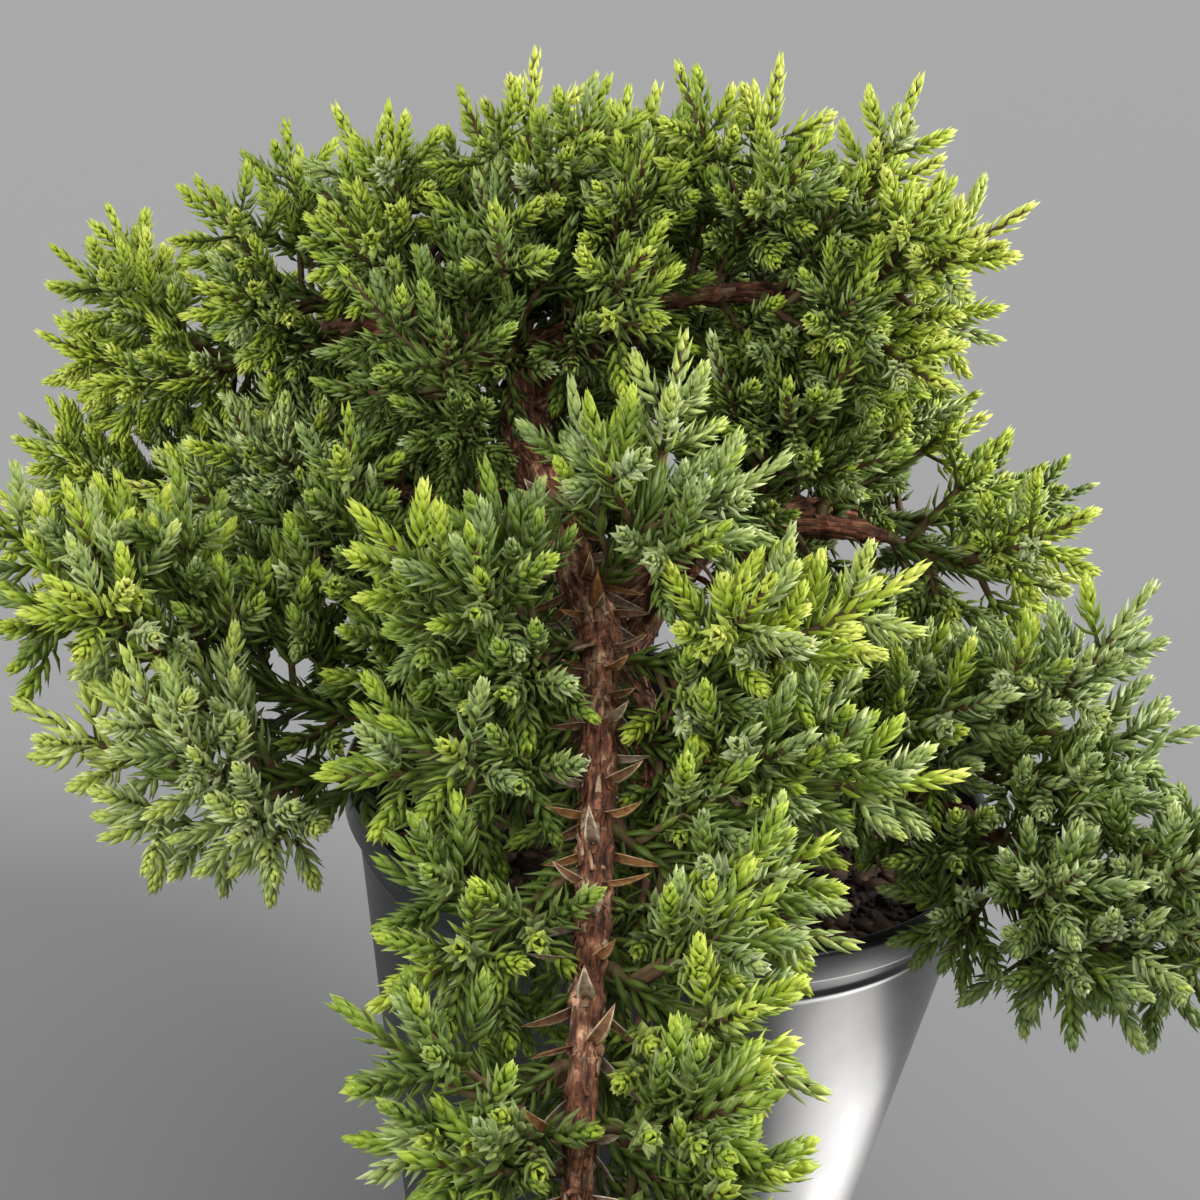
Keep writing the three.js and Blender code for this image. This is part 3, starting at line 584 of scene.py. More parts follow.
for order, (name, (_, radii, carrier)) in enumerate(LIMBS.items()):
    controls = limb_curves[name]
    bark_sides = TRUNK_BARK_SIDES if name == "trunk" else BOUGH_BARK_SIDES
    limb_points, limb_quads, limb_ends, limb_grain = bark_mesh(
        BARK_SEED + order, controls, lambda share: limb_radius(name, share), bark_sides,
        0 if name == "bough_front_upper" else BARK_END_TAPER)
    if carrier or name == "bough_front_lower":
        heel = nearest_on(carrier or "bough_front_upper", controls[0])[0]
        crotch = [heel, mixed(heel, controls[0], 0.5),
                  mixed(controls[0], controls[1], 0.05), mixed(controls[0], controls[1], 0.12)]
        foot_points, foot_quads, foot_ends, foot_grain = bark_mesh(
            BOUGH_FOOT_SEED + order, crotch, lambda share: radii[0] * (1.22 - 0.24 * share), bark_sides)
        shift = len(limb_points)
        limb_points = np.concatenate([limb_points, foot_points])
        limb_quads = np.concatenate([limb_quads, foot_quads + shift])
        limb_ends = np.concatenate([limb_ends, foot_ends + shift])
        limb_grain = np.concatenate([limb_grain, foot_grain])
    limb = mesh_piece(
        name + "_bark", limb_points, [limb_quads, limb_ends], [bark_finish], grain=limb_grain)
    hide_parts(name)


# Bark flakes
# Thin papery flakes of old bark peel and curl up along the limbs, most of them red-brown and some
# weathered to grey. They are thickest on the trunk and on the bare front bough.
FLAKES_PER_MM = {"trunk": 7.0, "bough_front_upper": 5.5, "bough_front_lower": 4.0}
USUAL_FLAKES_PER_MM = 1.6
FLAKE_LENGTHS = (1.0, 4.2)
FLAKE_WIDTHS = (0.25, 0.95)
FLAKE_THICKNESS = 0.1
FLAKE_LIFTS = (0.05, 0.7)
GREY_FLAKES = 0.3
FLAKE_SEED = 303
FLAKE_SPOTS = 150
FLAKE_SHARES = (0.01, 0.97)
flake_top = [[0, 1, 2], [1, 3, 2], [2, 3, 4], [3, 5, 4]]
flake_under = [[6, 8, 7], [7, 8, 9], [8, 10, 9], [9, 10, 11]]
flake_edge = [0, 1, 3, 5, 4, 2]
flake_sides = [
    face for a, b in zip(flake_edge, flake_edge[1:] + flake_edge[:1])
    for face in ([a, a + 6, b + 6], [a, b + 6, b])
]
flake_faces = np.array(flake_top + flake_under + flake_sides)


def flakes_on(name, draw):
    """The corners of a limb's flakes: two along each of three rows, above and below."""
    curve = limb_curves[name]
    count = int(curve_length(curve) * FLAKES_PER_MM.get(name, USUAL_FLAKES_PER_MM))
    spots = carried_frames(curve, np.linspace(*FLAKE_SHARES, FLAKE_SPOTS), FIRST_SIDE)
    made = []
    for _ in range(count):
        at = draw.integers(0, FLAKE_SPOTS)
        centre, along, side, across = spots[at]
        share = mixed(*FLAKE_SHARES, at / (FLAKE_SPOTS - 1))
        radius = limb_radius(name, share) * draw.uniform(0.98, 1.06)
        long, wide = draw.uniform(*FLAKE_LENGTHS), draw.uniform(*FLAKE_WIDTHS)
        lift = draw.uniform(*FLAKE_LIFTS) ** 1.6
        angle, slant = draw.uniform(0, 2 * np.pi), draw.normal(0, 0.18)
        leads = draw.choice([-1, 1])
        corners = []
        for depth in (0, FLAKE_THICKNESS):
            for row in (-0.5, 0.0, 0.5):
                narrowing = 1 - 0.45 * abs(row)
                rise = lift * max(0, row * leads * 2) ** 2 + 0.12
                for column in (-0.5, 0.5):
                    turn = angle + (column * wide * narrowing + slant * row * long) / radius
                    out = side * math.cos(turn) + across * math.sin(turn)
                    corners.append(centre + along * row * long + out * (radius + rise - depth))
        made.append(corners)
    return np.array(made)


red_flake = mottled_finish("red_brown_bark_flake", (0.115, 0.05, 0.026), 0.85, 0.3, 700.0, 4.0, [
    (0.35, (0.075, 0.027, 0.013)), (0.68, (0.270, 0.110, 0.052))])
grey_flake = mottled_finish("weathered_bark_flake", (0.25, 0.175, 0.12), 0.9, 0.25, 700.0, 4.0, [
    (0.35, (0.225, 0.128, 0.074)), (0.68, (0.500, 0.345, 0.230))])
flake_draw = np.random.default_rng(FLAKE_SEED)
flake_corners = np.concatenate([flakes_on(name, flake_draw) for name in LIMBS])
flake_count = len(flake_corners)
flake_worn = np.repeat(flake_draw.uniform(0, 1, flake_count) < GREY_FLAKES, len(flake_faces))
mesh_piece("bark_flakes", flake_corners.reshape(-1, 3), [copied(flake_faces, 12, flake_count)],
           [red_flake, grey_flake], flake_worn, smooth=False)


# Stems and twigs
# Each mass of foliage is one thin stem with twigs round it at the golden angle, and short side
# shoots in whorls on each twig. They grow by a seeded rule, and each keeps clear of its neighbours.

# For each mass: the limb that carries it, how far along the limb it stands, its tip, how far its twigs
# spread, how fresh its needles are, and how waxy they are. The freshness also paints light and shade: its
# low values give the masses deep in the crown darker tones as painted shade, and the high value of
# left_front_low gives a spray that lies in shade lighter tones as painted light
MASSES = {
    "upright_spray": ("bough_front_upper", 0.84, [-7, -19, 182], 15, 0.95, 0.8),
    "front_left_upper": ("bough_front_lower", 0.03, [-51, -48, 160], 15, 0.3, 0.4),
    "front_left_side": ("bough_front_lower", 0.2, [-50, -72, 130], 15, 0.3, 0.12),
    "front_left_middle": ("bough_front_lower", 0.48, [-38, -101, 114], 14, 0.35, 0.12),
    "front_left_tip": ("bough_front_lower", 0.76, [-34, -129, 110], 14, 0.4, 0.12),
    "front_right_upper": ("bough_front_lower", 0.05, [30, -41, 157], 15, 1.2, 0.55),
    "front_right_side": ("bough_front_lower", 0.2, [38, -56, 132], 15, 0.7, 0.5),
    "front_right_middle": ("bough_front_lower", 0.4, [22, -82, 118], 14, 0.65, 0.4),
    "front_right_lower": ("bough_front_lower", 0.62, [17, -107, 112], 13, 0.8, 0.12),
    "front_right_tip": ("bough_front_lower", 0.84, [15, -133, 106], 13, 0.45, 0.12),
    "front_end": ("bough_front_lower", 1, [-11, -179, 95], 17, 0.45, 0.12),
    "left_front_low": ("bough_left_front", 1, [-98, -52, 126], 16, 1.9, 1.0),
    "left_front_high": ("bough_left_front", 0.82, [-113, -34, 152], 17, 0.6, 0.3),
    "left_front_inner": ("bough_left_front", 0.45, [-78, -25, 154], 18, 0.1, 0.5),
    "middle_left": ("bough_front_upper", 0.14, [-60, -8, 184], 17, -0.15, 0.12),
    "middle_heart": ("trunk", 0.93, [-38, -6, 196], 14, -0.1, 0.12),
    "left_back": ("bough_left_back", 1, [-130, 76, 143], 22, 1.2, 0.12),
    "left_back_high": ("bough_left_back", 0.72, [-93, 44, 175], 20, 1.0, 0.12),
    "left_back_low": ("bough_left_low", 1, [-140, 62, 110], 20, 1.1, 0.12),
    "left_middle": ("bough_left_low", 0.5, [-96, 2, 142], 20, 1.1, 0.8),
    "dome_left": ("bough_left_back", 0.3, [-70, 40, 201], 19, 0.7, 0.12),
    "dome_centre": ("trunk", 1, [-36, 36, 214], 18, 0.85, 0.12),
    "dome_middle": ("bough_right_top", 0.35, [-15, 31, 211], 17, 0.8, 0.12),
    "dome_right": ("bough_right_top", 0.75, [5, 26, 218], 17, 0.75, 0.12),
    "dome_far_right": ("bough_right_top", 1, [47, 14, 201], 19, 1.6, 0.12),
    "middle_spray": ("bough_right_top", 0.16, [-14, -8, 192], 12, 0.3, 0.12),
    "right_high": ("bough_right_top", 0.9, [34, -2, 178], 16, 0.45, 0.12),
    "right_centre": ("bough_right_back", 0.5, [22, -2, 180], 17, 0.25, 0.12),
    "right_back_high": ("bough_right_back", 0.78, [46, 17, 164], 17, 1.2, 0.12),
    "right_back": ("bough_right_back", 1, [64, 6, 141], 18, 1.3, 0.12),
    "right_low": ("bough_right_front", 0.35, [44, 0, 132], 15, 0.3, 0.9),
    "right_front_inner": ("bough_right_front", 0.58, [46, -44, 140], 16, 0.45, 0.9),
    "right_front_outer": ("bough_right_front", 0.85, [68, -26, 152], 18, 0.45, 0.9),
    "right_front_far": ("bough_right_front", 1, [103, -55, 114], 19, 0.5, 1.0),
    "right_front_low": ("bough_right_front", 0.93, [84, -67, 105], 16, 0.5, 1.0),
    "back_top": ("bough_back", 0.42, [-20, 62, 206], 21, 0.4, 0.12),
    "back_end": ("bough_back", 1, [-6, 114, 148], 23, 0.45, 0.12),
    "back_left": ("bough_left_low", 0.74, [-70, 98, 156], 23, 0.45, 0.12),
    "back_right_high": ("bough_back_right", 0.55, [38, 52, 190], 21, 0.45, 0.12),
    "back_right": ("bough_back_right", 1, [64, 76, 136], 22, 0.45, 0.12),
    "back_low": ("bough_back_low", 1, [-38, 106, 112], 21, 0.45, 0.12),
    "back_right_low": ("bough_back_right", 0.8, [22, 96, 120], 19, 0.45, 0.12),
    "back_left_low": ("bough_back_low", 0.55, [-84, 92, 118], 21, 0.45, 0.12),
    "back_middle": ("bough_back", 0.75, [26, 92, 176], 21, 0.45, 0.12),
    "back_inner": ("bough_back", 0.6, [-62, 78, 184], 21, 0.3, 0.12),
}
MASS_SEED = 1009
MASS_SEED_STEP = 97
STEM_RADII = (1.9, 1.5)
STEM_START = 0.13
END_LENGTH = 20.0
END_SHARE = 0.42
BUD_LENGTH = 4.0
STEM_LIFT = 0.12
END_GAP = 0.45
STEM_HEADING = (0.8, 0.6)
STEM_BEND = (0.3, 0.25)
LIMB_PARTS = 20
STEM_PARTS = 12
GOLDEN_ANGLE = 2.39996
TWIG_STEP = 4.1
FEWEST_TWIGS = 2
TWIG_FOOT = 2.8
TWIG_FOOT_RADIUS = 1.5
TWIG_JITTER = 0.35
LAST_TWIG_SHARE = 0.05
TWIG_ANGLES = (1.2, 0.65)
TWIG_REACH = 1.5
TWIG_LENGTHS = (0.85, 1.15)
TWIG_TAPER = 0.4
TWIG_LIFT = 0.22
TWIG_SAG = 0.1
TWIG_BULGE = 0.08
BARE_FOOT = 5.0
END_BARE_SHARE = 0.1
LEAFY_LENGTH = 34.0
CORE_RADII = (2.4, 1.8)
WHORL_STEP = 5.8
MOST_WHORLS = 4
WHORL_TWIST = 0.5
TIP_LENGTH = 9.0
SHOOT_LENGTH = 12.0
SHOOT_TAPER = 0.25
SHOOT_LENGTHS = (0.8, 1.15)
SHOOT_ANGLES = (1.0, 0.62)
SHOOT_SPREAD = 0.25
SHOOT_RADII = (2.6, 0.2)
SHOOT_TESTS = (0.1, 0.4, 0.7, 1)
CLEARANCE = 0.35
BEAD_STEP = 2.0
CELL = 8.0
RIM_MARGIN = 3.0


def seeded_numbers(seed):
    """A repeatable stream of numbers from 0 to 1."""
    state = seed
    while True:
        state = (state * 48271) % 2147483647
        yield state / 2147483647


cells = {}


def add_beads(start, end, radii, owner):
    """Marks the room that a length of wood or leaf takes up, as round beads sorted into cells."""
    start, end = np.asarray(start), np.asarray(end)
    count = max(1, math.ceil(float(np.linalg.norm(end - start)) / BEAD_STEP))
    for bead in range(count + 1):
        centre = mixed(start, end, bead / count)
        key = tuple(int(math.floor(value / CELL)) for value in centre)
        cells.setdefault(key, []).append((*map(float, centre), mixed(*radii, bead / count), owner))


def add_curve_beads(controls, stop, parts, radius_at, owner):
    for part in range(parts):
        low, high = stop * part / parts, stop * (part + 1) / parts
        add_beads(curve_points(controls, low), curve_points(controls, high),
                  (float(radius_at(low)), float(radius_at(high))), owner)


def is_free(point, radius, own, only=None):
    """Whether a bead fits at a place, clear of the pot and of other beads, or of only some owners'."""
    x, y, z = (float(value) for value in point)
    if math.hypot(x, y) < POT_RIM_RADIUS + RIM_MARGIN and z < POT_HEIGHT + RIM_MARGIN:
        return False
    i, j, k = (int(math.floor(value / CELL)) for value in (x, y, z))
    for di in (-1, 0, 1):
        for dj in (-1, 0, 1):
            for dk in (-1, 0, 1):
                for bx, by, bz, size, owner in cells.get((i + di, j + dj, k + dk), ()):
                    if owner == own or only is not None and owner not in only:
                        continue
                    reach = size + radius + CLEARANCE
                    if (x - bx) ** 2 + (y - by) ** 2 + (z - bz) ** 2 <= reach * reach:
                        return False
    return True


def bent_curve(root, heading, tip):
    tip = np.array(tip, float)
    length = float(np.linalg.norm(tip - root))
    bend = mixed(root + heading * length * STEM_BEND[0], tip, STEM_BEND[1])
    bend[2] -= length * STEM_LIFT
    return [root, bend, tip]


def stem_curve(mass):
    """A mass's stem starts beside its limb, or past the limb's end, just clear of the bark."""
    limb, share, tip = mass[:3]
    start = curve_points(limb_curves[limb], share)
    along = curve_heading(limb_curves[limb], share)
    if share == 1:
        return bent_curve(start + along * END_GAP, along, tip)
    toward = unit(np.array(tip, float) - start)
    outward = unit(toward - along * toward.dot(along))
    heading = unit(outward * STEM_HEADING[0] + along * STEM_HEADING[1])
    clear = limb_radius(limb, share) + STEM_RADII[0]

    def foot_at(place):
        corners = ring_at(cross_at(bent_curve(place, heading, tip), 0), STEM_RADII[0], 3, 0)
        return corners + [mixed(corners[at], corners[(at + 1) % 3], 0.5) for at in range(3)]

    return bent_curve(seated(limb, start + outward * clear, foot_at), heading, tip)


def plan_stem(mass, numbers):
    """The stem's curve, where it stops, the feet of its twigs, and the cross directions there."""
    curve = stem_curve(mass)
    length = curve_length(curve)
    stop = 1 - min(END_SHARE, END_LENGTH / length)
    count = max(FEWEST_TWIGS, math.floor(length * stop / TWIG_STEP + 0.5))
    feet = [
        mixed(STEM_START, stop - LAST_TWIG_SHARE,
              (twig + TWIG_JITTER * next(numbers)) / (count - 1 + TWIG_JITTER))
        for twig in range(count)
    ]
    half = TWIG_FOOT / 2 / length
    shares = [0, *[share for foot in feet for share in (foot - half, foot + half)], stop]
    frames = carried_frames(curve, shares, FIRST_SIDE)
    steps = [0, *[twig for twig in range(count) for _ in (0, 1)], count - 1]
    turns = [twig * (GOLDEN_ANGLE - 2 * math.pi / 3) for twig in steps]
    return curve, stop, feet, frames, turns


def leaned(foot, along, outward, angle, length):
    return foot + along * length * math.cos(angle) + outward * length * math.sin(angle)


def arched(foot, along, outward, angle, length, lift):
    """A twig's path from its foot: out from what carries it, then up."""
    tip = leaned(foot, along, outward, angle, length)
    tip[2] += length * lift
    bend = mixed(foot, tip, 0.5) + outward * length * TWIG_BULGE
    bend[2] -= length * TWIG_SAG
    return [foot, bend, tip]


def twig_path(stem, twig, spread, numbers):
    """The path of the twig on a given foot of the stem."""
    curve, _, feet, frames, turns = stem
    low, share = frames[1 + 2 * twig], feet[twig]
    outward = spoke(low, turns[1 + 2 * twig] + (twig % 3 + 0.5) * 2 * math.pi / 3)
    foot = curve_points(curve, share) + outward * STEM_RADII[1] / 2
    length = spread * TWIG_REACH * (1 - TWIG_TAPER * share) * mixed(*TWIG_LENGTHS, next(numbers))
    return arched(foot, low[1], outward, mixed(*TWIG_ANGLES, share), length, TWIG_LIFT)


def plan_twig(curve, sides, first_side, own, stem_owner, numbers, only=None):
    """A leafy twig's whorls and side shoots, as far as they are free, or None where too few are."""
    length = curve_length(curve)
    bare = BARE_FOOT / length if sides == 4 else END_BARE_SHARE
    leaf_start = max(bare, 1 - LEAFY_LENGTH / length)
    leaf_end = 1 - TIP_LENGTH / length
    planned = int(np.clip(math.floor((leaf_end - leaf_start) * length / WHORL_STEP + 0.5), 1, MOST_WHORLS))
    wishes = [(next(numbers), next(numbers)) for _ in range(planned * sides)]
    shares = [mixed(leaf_start, leaf_end, ring / planned) for ring in range(planned + 1)]
    frames = carried_frames(curve, shares, first_side)
    stations = [cross[0] for cross in frames] + [curve_points(curve, 1)]
    reached = len(stations)
    for at, point in enumerate(stations):
        between = mixed(point, stations[at - 1] if at > 0 else curve_points(curve, 0), 0.5)
        core = CORE_RADII[1]
        if not (is_free(point, core, stem_owner, only) and is_free(between, core, stem_owner, only)):
            reached = at
            break
    whorls = reached - 2
    if whorls < 1:
        return None
    radii = [mixed(*CORE_RADII, ring / planned) for ring in range(planned + 1)]
    shoots = []
    for whorl in range(whorls):
        for corner in range(sides):
            longer, wider = wishes[whorl * sides + corner]
            low = frames[whorl]
            outward = spoke(low, (whorl + 0.5) * WHORL_TWIST + (corner + 0.5) * 2 * math.pi / sides)
            axis = mixed(low[0], frames[whorl + 1][0], 0.5)
            foot = axis + outward * radii[whorl] * math.cos(math.pi / sides)
            up = (whorl + 1) / (planned + 1)
            angle = mixed(*SHOOT_ANGLES, up) + SHOOT_SPREAD * (wider - 0.5)
            reach = SHOOT_LENGTH * (1 - SHOOT_TAPER * up) * mixed(*SHOOT_LENGTHS, longer)
            tip = leaned(foot, low[1], outward, angle, reach)
            clear = all(is_free(mixed(foot, tip, share), mixed(*SHOOT_RADII, share), own, only)
                        for share in SHOOT_TESTS)
            shoots.append((axis, foot, tip, low[1], outward, up, clear))
    end = stations[reached - 1]
    add_beads(curve_points(curve, 0), frames[0][0], (TWIG_FOOT_RADIUS, radii[0]), own)
    for whorl in range(whorls):
        add_beads(frames[whorl][0], frames[whorl + 1][0], (radii[whorl], radii[whorl + 1]), own)
    add_beads(frames[whorls][0], end, (radii[whorls], SHOOT_RADII[1]), own)
    for _, foot, tip, _, _, _, clear in shoots:
        if clear:
            add_beads(foot, tip, SHOOT_RADII, own)
    stop = 1 if reached == len(stations) else shares[reached - 1]
    return {"curve": part_of(curve, stop), "side": frames[0][2], "shoots": shoots}


def part_of(curve, stop):
    """The first part of a bent line of three points, as three points."""
    first, bend, _ = curve
    return [first, mixed(first, bend, stop), curve_points(curve, stop)]


for name in LIMBS:
    add_curve_beads(limb_curves[name], 1, LIMB_PARTS, lambda share: limb_radius(name, share), name)
grown = []
for index, name in enumerate(MASSES):
    numbers = seeded_numbers(MASS_SEED + MASS_SEED_STEP * index)
    stem = plan_stem(MASSES[name], numbers)
    add_curve_beads(stem[0], stem[1], STEM_PARTS, lambda share: mixed(*STEM_RADII, share), name)
    grown.append((name, numbers, stem))

twigs = []
stems = {}
for name, numbers, stem in grown:
    curve, stop, feet, frames, turns = stem
    end_path = [curve_points(curve, stop), curve_points(curve, (stop + 1) / 2), curve[2]]
    end_twig = plan_twig(end_path, 3, spoke(frames[-1], turns[-1]), name + " end", name, numbers)
    if end_twig is None:
        bud = part_of(end_path, BUD_LENGTH / END_LENGTH)
        end_twig = {"curve": bud, "side": frames[-1][2], "shoots": []}
    stems[name] = part_of(curve, stop)
    twigs.append((name, 1.0, end_twig))
    for twig, share in enumerate(feet):
        path = twig_path(stem, twig, MASSES[name][3], numbers)
        corner = ring_at(frames[1 + 2 * twig], mixed(*STEM_RADII, share), 3, turns[1 + 2 * twig])[twig % 3]
        first_side = corner - curve_points(curve, share)
        twigs.append((name, share, plan_twig(path, 4, first_side, f"{name} {twig}", name, numbers)))


def side_path(controls, share, toward, radius, angle, length, lift):
    """The path of a finer twig from a stem or limb, out toward a given side and then up."""
    along = curve_heading(controls, share)
    outward = unit(toward - along * toward.dot(along))
    foot = curve_points(controls, share) + outward * radius / 2
    return arched(foot, along, outward, angle, length, lift)


# Finer twigs than the solids have fill the masses, from the stems and from the leafy parts of limbs
FILL_SEED = 505
FILL_STEP = 3.5
FILL_START = 0.05
FILL_TURN = 0.9
FILL_LENGTHS = (0.55, 0.9)
FILL_SIDES = 4
LIMB_FILL_SEED = 4021
LIMB_FILL_STEP = 4.6
LIMB_FILL_LENGTHS = (15.0, 25.0)
BARE_SHARES = {"trunk": 0.3, "bough_front_upper": 1.0, "bough_front_lower": 0.82}
USUAL_BARE_SHARE = 0.3
BARE_BOUGH_HALF = 10.0
BARE_BOUGH_AHEAD = 6.0
LOWEST_FILL_TIPS = {"left_front_low": 111.0}

# Where the camera stands, how far it looks down and leans, and its lens and sensor
EYE = np.array([-15.6, -314.1, 257.6])
LOOK_DOWN = math.radians(22)
LEAN = math.radians(-5.83)
LENS = 60
SENSOR = 36

# The photograph shows the background through the crown at these places: how far right of the picture's
# middle and how far above it, then half the opening's width and height, in widths of the picture
OPENINGS = [
    (0.271, 0.096, 0.014, 0.027), (0.304, 0.023, 0.010, 0.009), (0.208, 0.043, 0.010, 0.010),
    (0.176, 0.085, 0.008, 0.010), (0.244, 0.078, 0.008, 0.010), (0.080, 0.022, 0.008, 0.006),
    (-0.282, -0.069, 0.009, 0.020), (-0.067, 0.337, 0.007, 0.011),
]
OPENING_MARGIN = 0.0055
bare_line = np.concatenate([
    curve_points(limb_curves[name], np.linspace(0, 1, 40))
    for name in ("bough_front_upper", "bough_front_lower")])
fill_draw = np.random.default_rng(FILL_SEED)
level = np.array([1.0, 0, 0])
ahead = np.array([0, math.cos(LOOK_DOWN), -math.sin(LOOK_DOWN)])
above = np.cross(level, ahead)
picture_right = math.cos(LEAN) * level - math.sin(LEAN) * above
picture_up = math.sin(LEAN) * level + math.cos(LEAN) * above


def seen_at(point):
    """Where the camera sees a point, as shares of the picture's width from its middle."""
    reach = point - EYE
    depth = reach @ ahead / (LENS / SENSOR)
    return reach @ picture_right / depth, reach @ picture_up / depth


def in_opening(path, shares):
    """Whether a twig or shoot would cross a line of sight that the photograph shows as open."""
    for point in curve_points(path, shares):
        x, y = seen_at(point)
        for middle_x, middle_y, half_wide, half_high in OPENINGS:
            wide, high = half_wide + OPENING_MARGIN, half_high + OPENING_MARGIN
            if ((x - middle_x) / wide) ** 2 + ((y - middle_y) / high) ** 2 < 1:
                return True
    return False


def over_bare_bough(path):
    """Whether a finer twig would grow over the top of the bare front bough and hide it."""
    tip = path[2]
    nearest = bare_line[np.argmin(np.abs(bare_line[:, 1] - tip[1]))]
    beside = abs(tip[0] - nearest[0]) < BARE_BOUGH_HALF
    return beside and tip[2] > nearest[2] - 1 and tip[1] < nearest[1] + BARE_BOUGH_AHEAD


def fill_twig(name, carrier, share, turn, radius, angle, length, numbers):
    """A finer twig, or None where it isn't free or would hide what the photograph shows."""
    toward = spoke(cross_at(carrier, share), turn)
    path = side_path(carrier, share, toward, radius, angle, length, TWIG_LIFT)
    if over_bare_bough(path) or path[2][2] < LOWEST_FILL_TIPS.get(name, 0):
        return None
    return plan_twig(path, FILL_SIDES, toward, f"{name} fill {turn}", name, numbers, LIMBS)


for name, numbers, (curve, stop, *_) in grown:
    count = max(2, round(curve_length(curve) * stop / FILL_STEP))
    for twig in range(count):
        share = mixed(FILL_START, stop, (twig + 0.5) / count)
        length = MASSES[name][3] * TWIG_REACH * (1 - TWIG_TAPER * share) * fill_draw.uniform(*FILL_LENGTHS)
        twigs.append((name, share, fill_twig(
            name, curve, share, twig * GOLDEN_ANGLE + FILL_TURN, STEM_RADII[1],
            mixed(*TWIG_ANGLES, share), length, numbers)))
numbers = seeded_numbers(LIMB_FILL_SEED)
for name, curve in limb_curves.items():
    bare = BARE_SHARES.get(name, USUAL_BARE_SHARE)
    count = round(curve_length(curve) * (1 - bare) / LIMB_FILL_STEP)
    for twig in range(count):
        share = mixed(bare, 1, (twig + 0.5) / count)
        twigs.append((name, 0.0, fill_twig(
            name, curve, share, twig * GOLDEN_ANGLE, limb_radius(name, share),
            TWIG_ANGLES[0], fill_draw.uniform(*LIMB_FILL_LENGTHS), numbers)))
twigs = [(name, share, plan) for name, share, plan in twigs
         if plan and not in_opening(plan["curve"], [0.5, 0.75, 1])]
for _, _, plan in twigs:
    plan["shoots"] = [shoot for shoot in plan["shoots"] if not in_opening([shoot[0], shoot[2]], [0.5, 1])]


# The rods' radii at the start and end of what holds the stem, of the stem, a twig and a shoot
STEM_HOLD_RADII = (1.1, 0.95)
STEM_ROD_RADII = (0.95, 0.6)
TWIG_ROD_RADII = (0.8, 0.4)
SHOOT_ROD_RADII = (0.45, 0.25)


def bent_lines(a, b, c, s, first_side):
    """Many bent lines at once: their points at shares s, their headings, and two directions across."""
    centres = (1 - s) ** 2 * a + 2 * s * (1 - s) * b + s**2 * c
    along = 2 * (1 - s) * (b - a) + 2 * s * (c - b)
    along /= np.linalg.norm(along, axis=-1, keepdims=True) + 1e-9
    side = first_side - along * (first_side * along).sum(-1, keepdims=True)
    side /= np.linalg.norm(side, axis=-1, keepdims=True) + 1e-9
    return centres, along, side, np.cross(along, side)


def rods(curves, radii, rings, sides):
    """Many thin round rods at once, each along a bent line of three points, closed at both ends."""
    a, b, c = (np.array([curve[at] for curve in curves], float)[:, None] for at in range(3))
    radii = np.asarray(radii, float)
    shares = np.linspace(0, 1, rings)
    centres, along, side, across = bent_lines(a, b, c, shares[None, :, None], FIRST_SIDE)
    angles = np.arange(sides) * 2 * np.pi / sides
    size = radii[:, :1] + (radii[:, 1:] - radii[:, :1]) * shares
    out = np.cos(angles)[:, None] * side[:, :, None] + np.sin(angles)[:, None] * across[:, :, None]
    body = (centres[:, :, None] + size[:, :, None, None] * out).reshape(len(a), -1, 3)
    points = np.concatenate([body, centres[:, :1], centres[:, -1:]], 1)
    around = np.arange(sides)
    following = (around + 1) % sides
    faces = []
    for low in range(0, (rings - 1) * sides, sides):
        faces.append(np.stack([low + around, low + following, low + sides + following], 1))
        faces.append(np.stack([low + around, low + sides + following, low + sides + around], 1))
    last = (rings - 1) * sides
    faces.append(np.stack([np.full(sides, rings * sides), following, around], 1))
    faces.append(np.stack([np.full(sides, rings * sides + 1), last + around, last + following], 1))
    return points.reshape(-1, 3), copied(np.concatenate(faces), points.shape[1], len(a))


stem_rods = []
stem_sizes = []
for name, curve in stems.items():
    seat_point = curve_points(limb_curves[MASSES[name][0]], MASSES[name][1])
    stem_rods += [[seat_point, mixed(seat_point, curve[0], 0.5), mixed(curve[0], curve[1], 0.06)], curve]
    stem_sizes += [STEM_HOLD_RADII, STEM_ROD_RADII]
stem_points, stem_faces = rods(stem_rods, stem_sizes, rings=14, sides=9)
stem_points = stem_points + 0.16 * waves(55, stem_points, 30, 1.2, 5.0)[:, None] * unit(FIRST_SIDE)
twig_finish = mottled_finish("green_brown_twig_bark", (0.105, 0.070, 0.030), 0.7, 0.3, 420.0, 5.0, [
    (0.38, (0.080, 0.038, 0.018)), (0.52, (0.105, 0.070, 0.028)), (0.68, (0.110, 0.115, 0.032))])
stem_piece = mesh_piece("mass_stems", stem_points, [stem_faces], [twig_finish])
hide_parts(*MASSES)
twig_rods = [plan["curve"] for _, _, plan in twigs]
twig_points, twig_faces = rods(twig_rods, [TWIG_ROD_RADII] * len(twigs), rings=8, sides=4)
mesh_piece("twigs", twig_points, [twig_faces], [twig_finish])
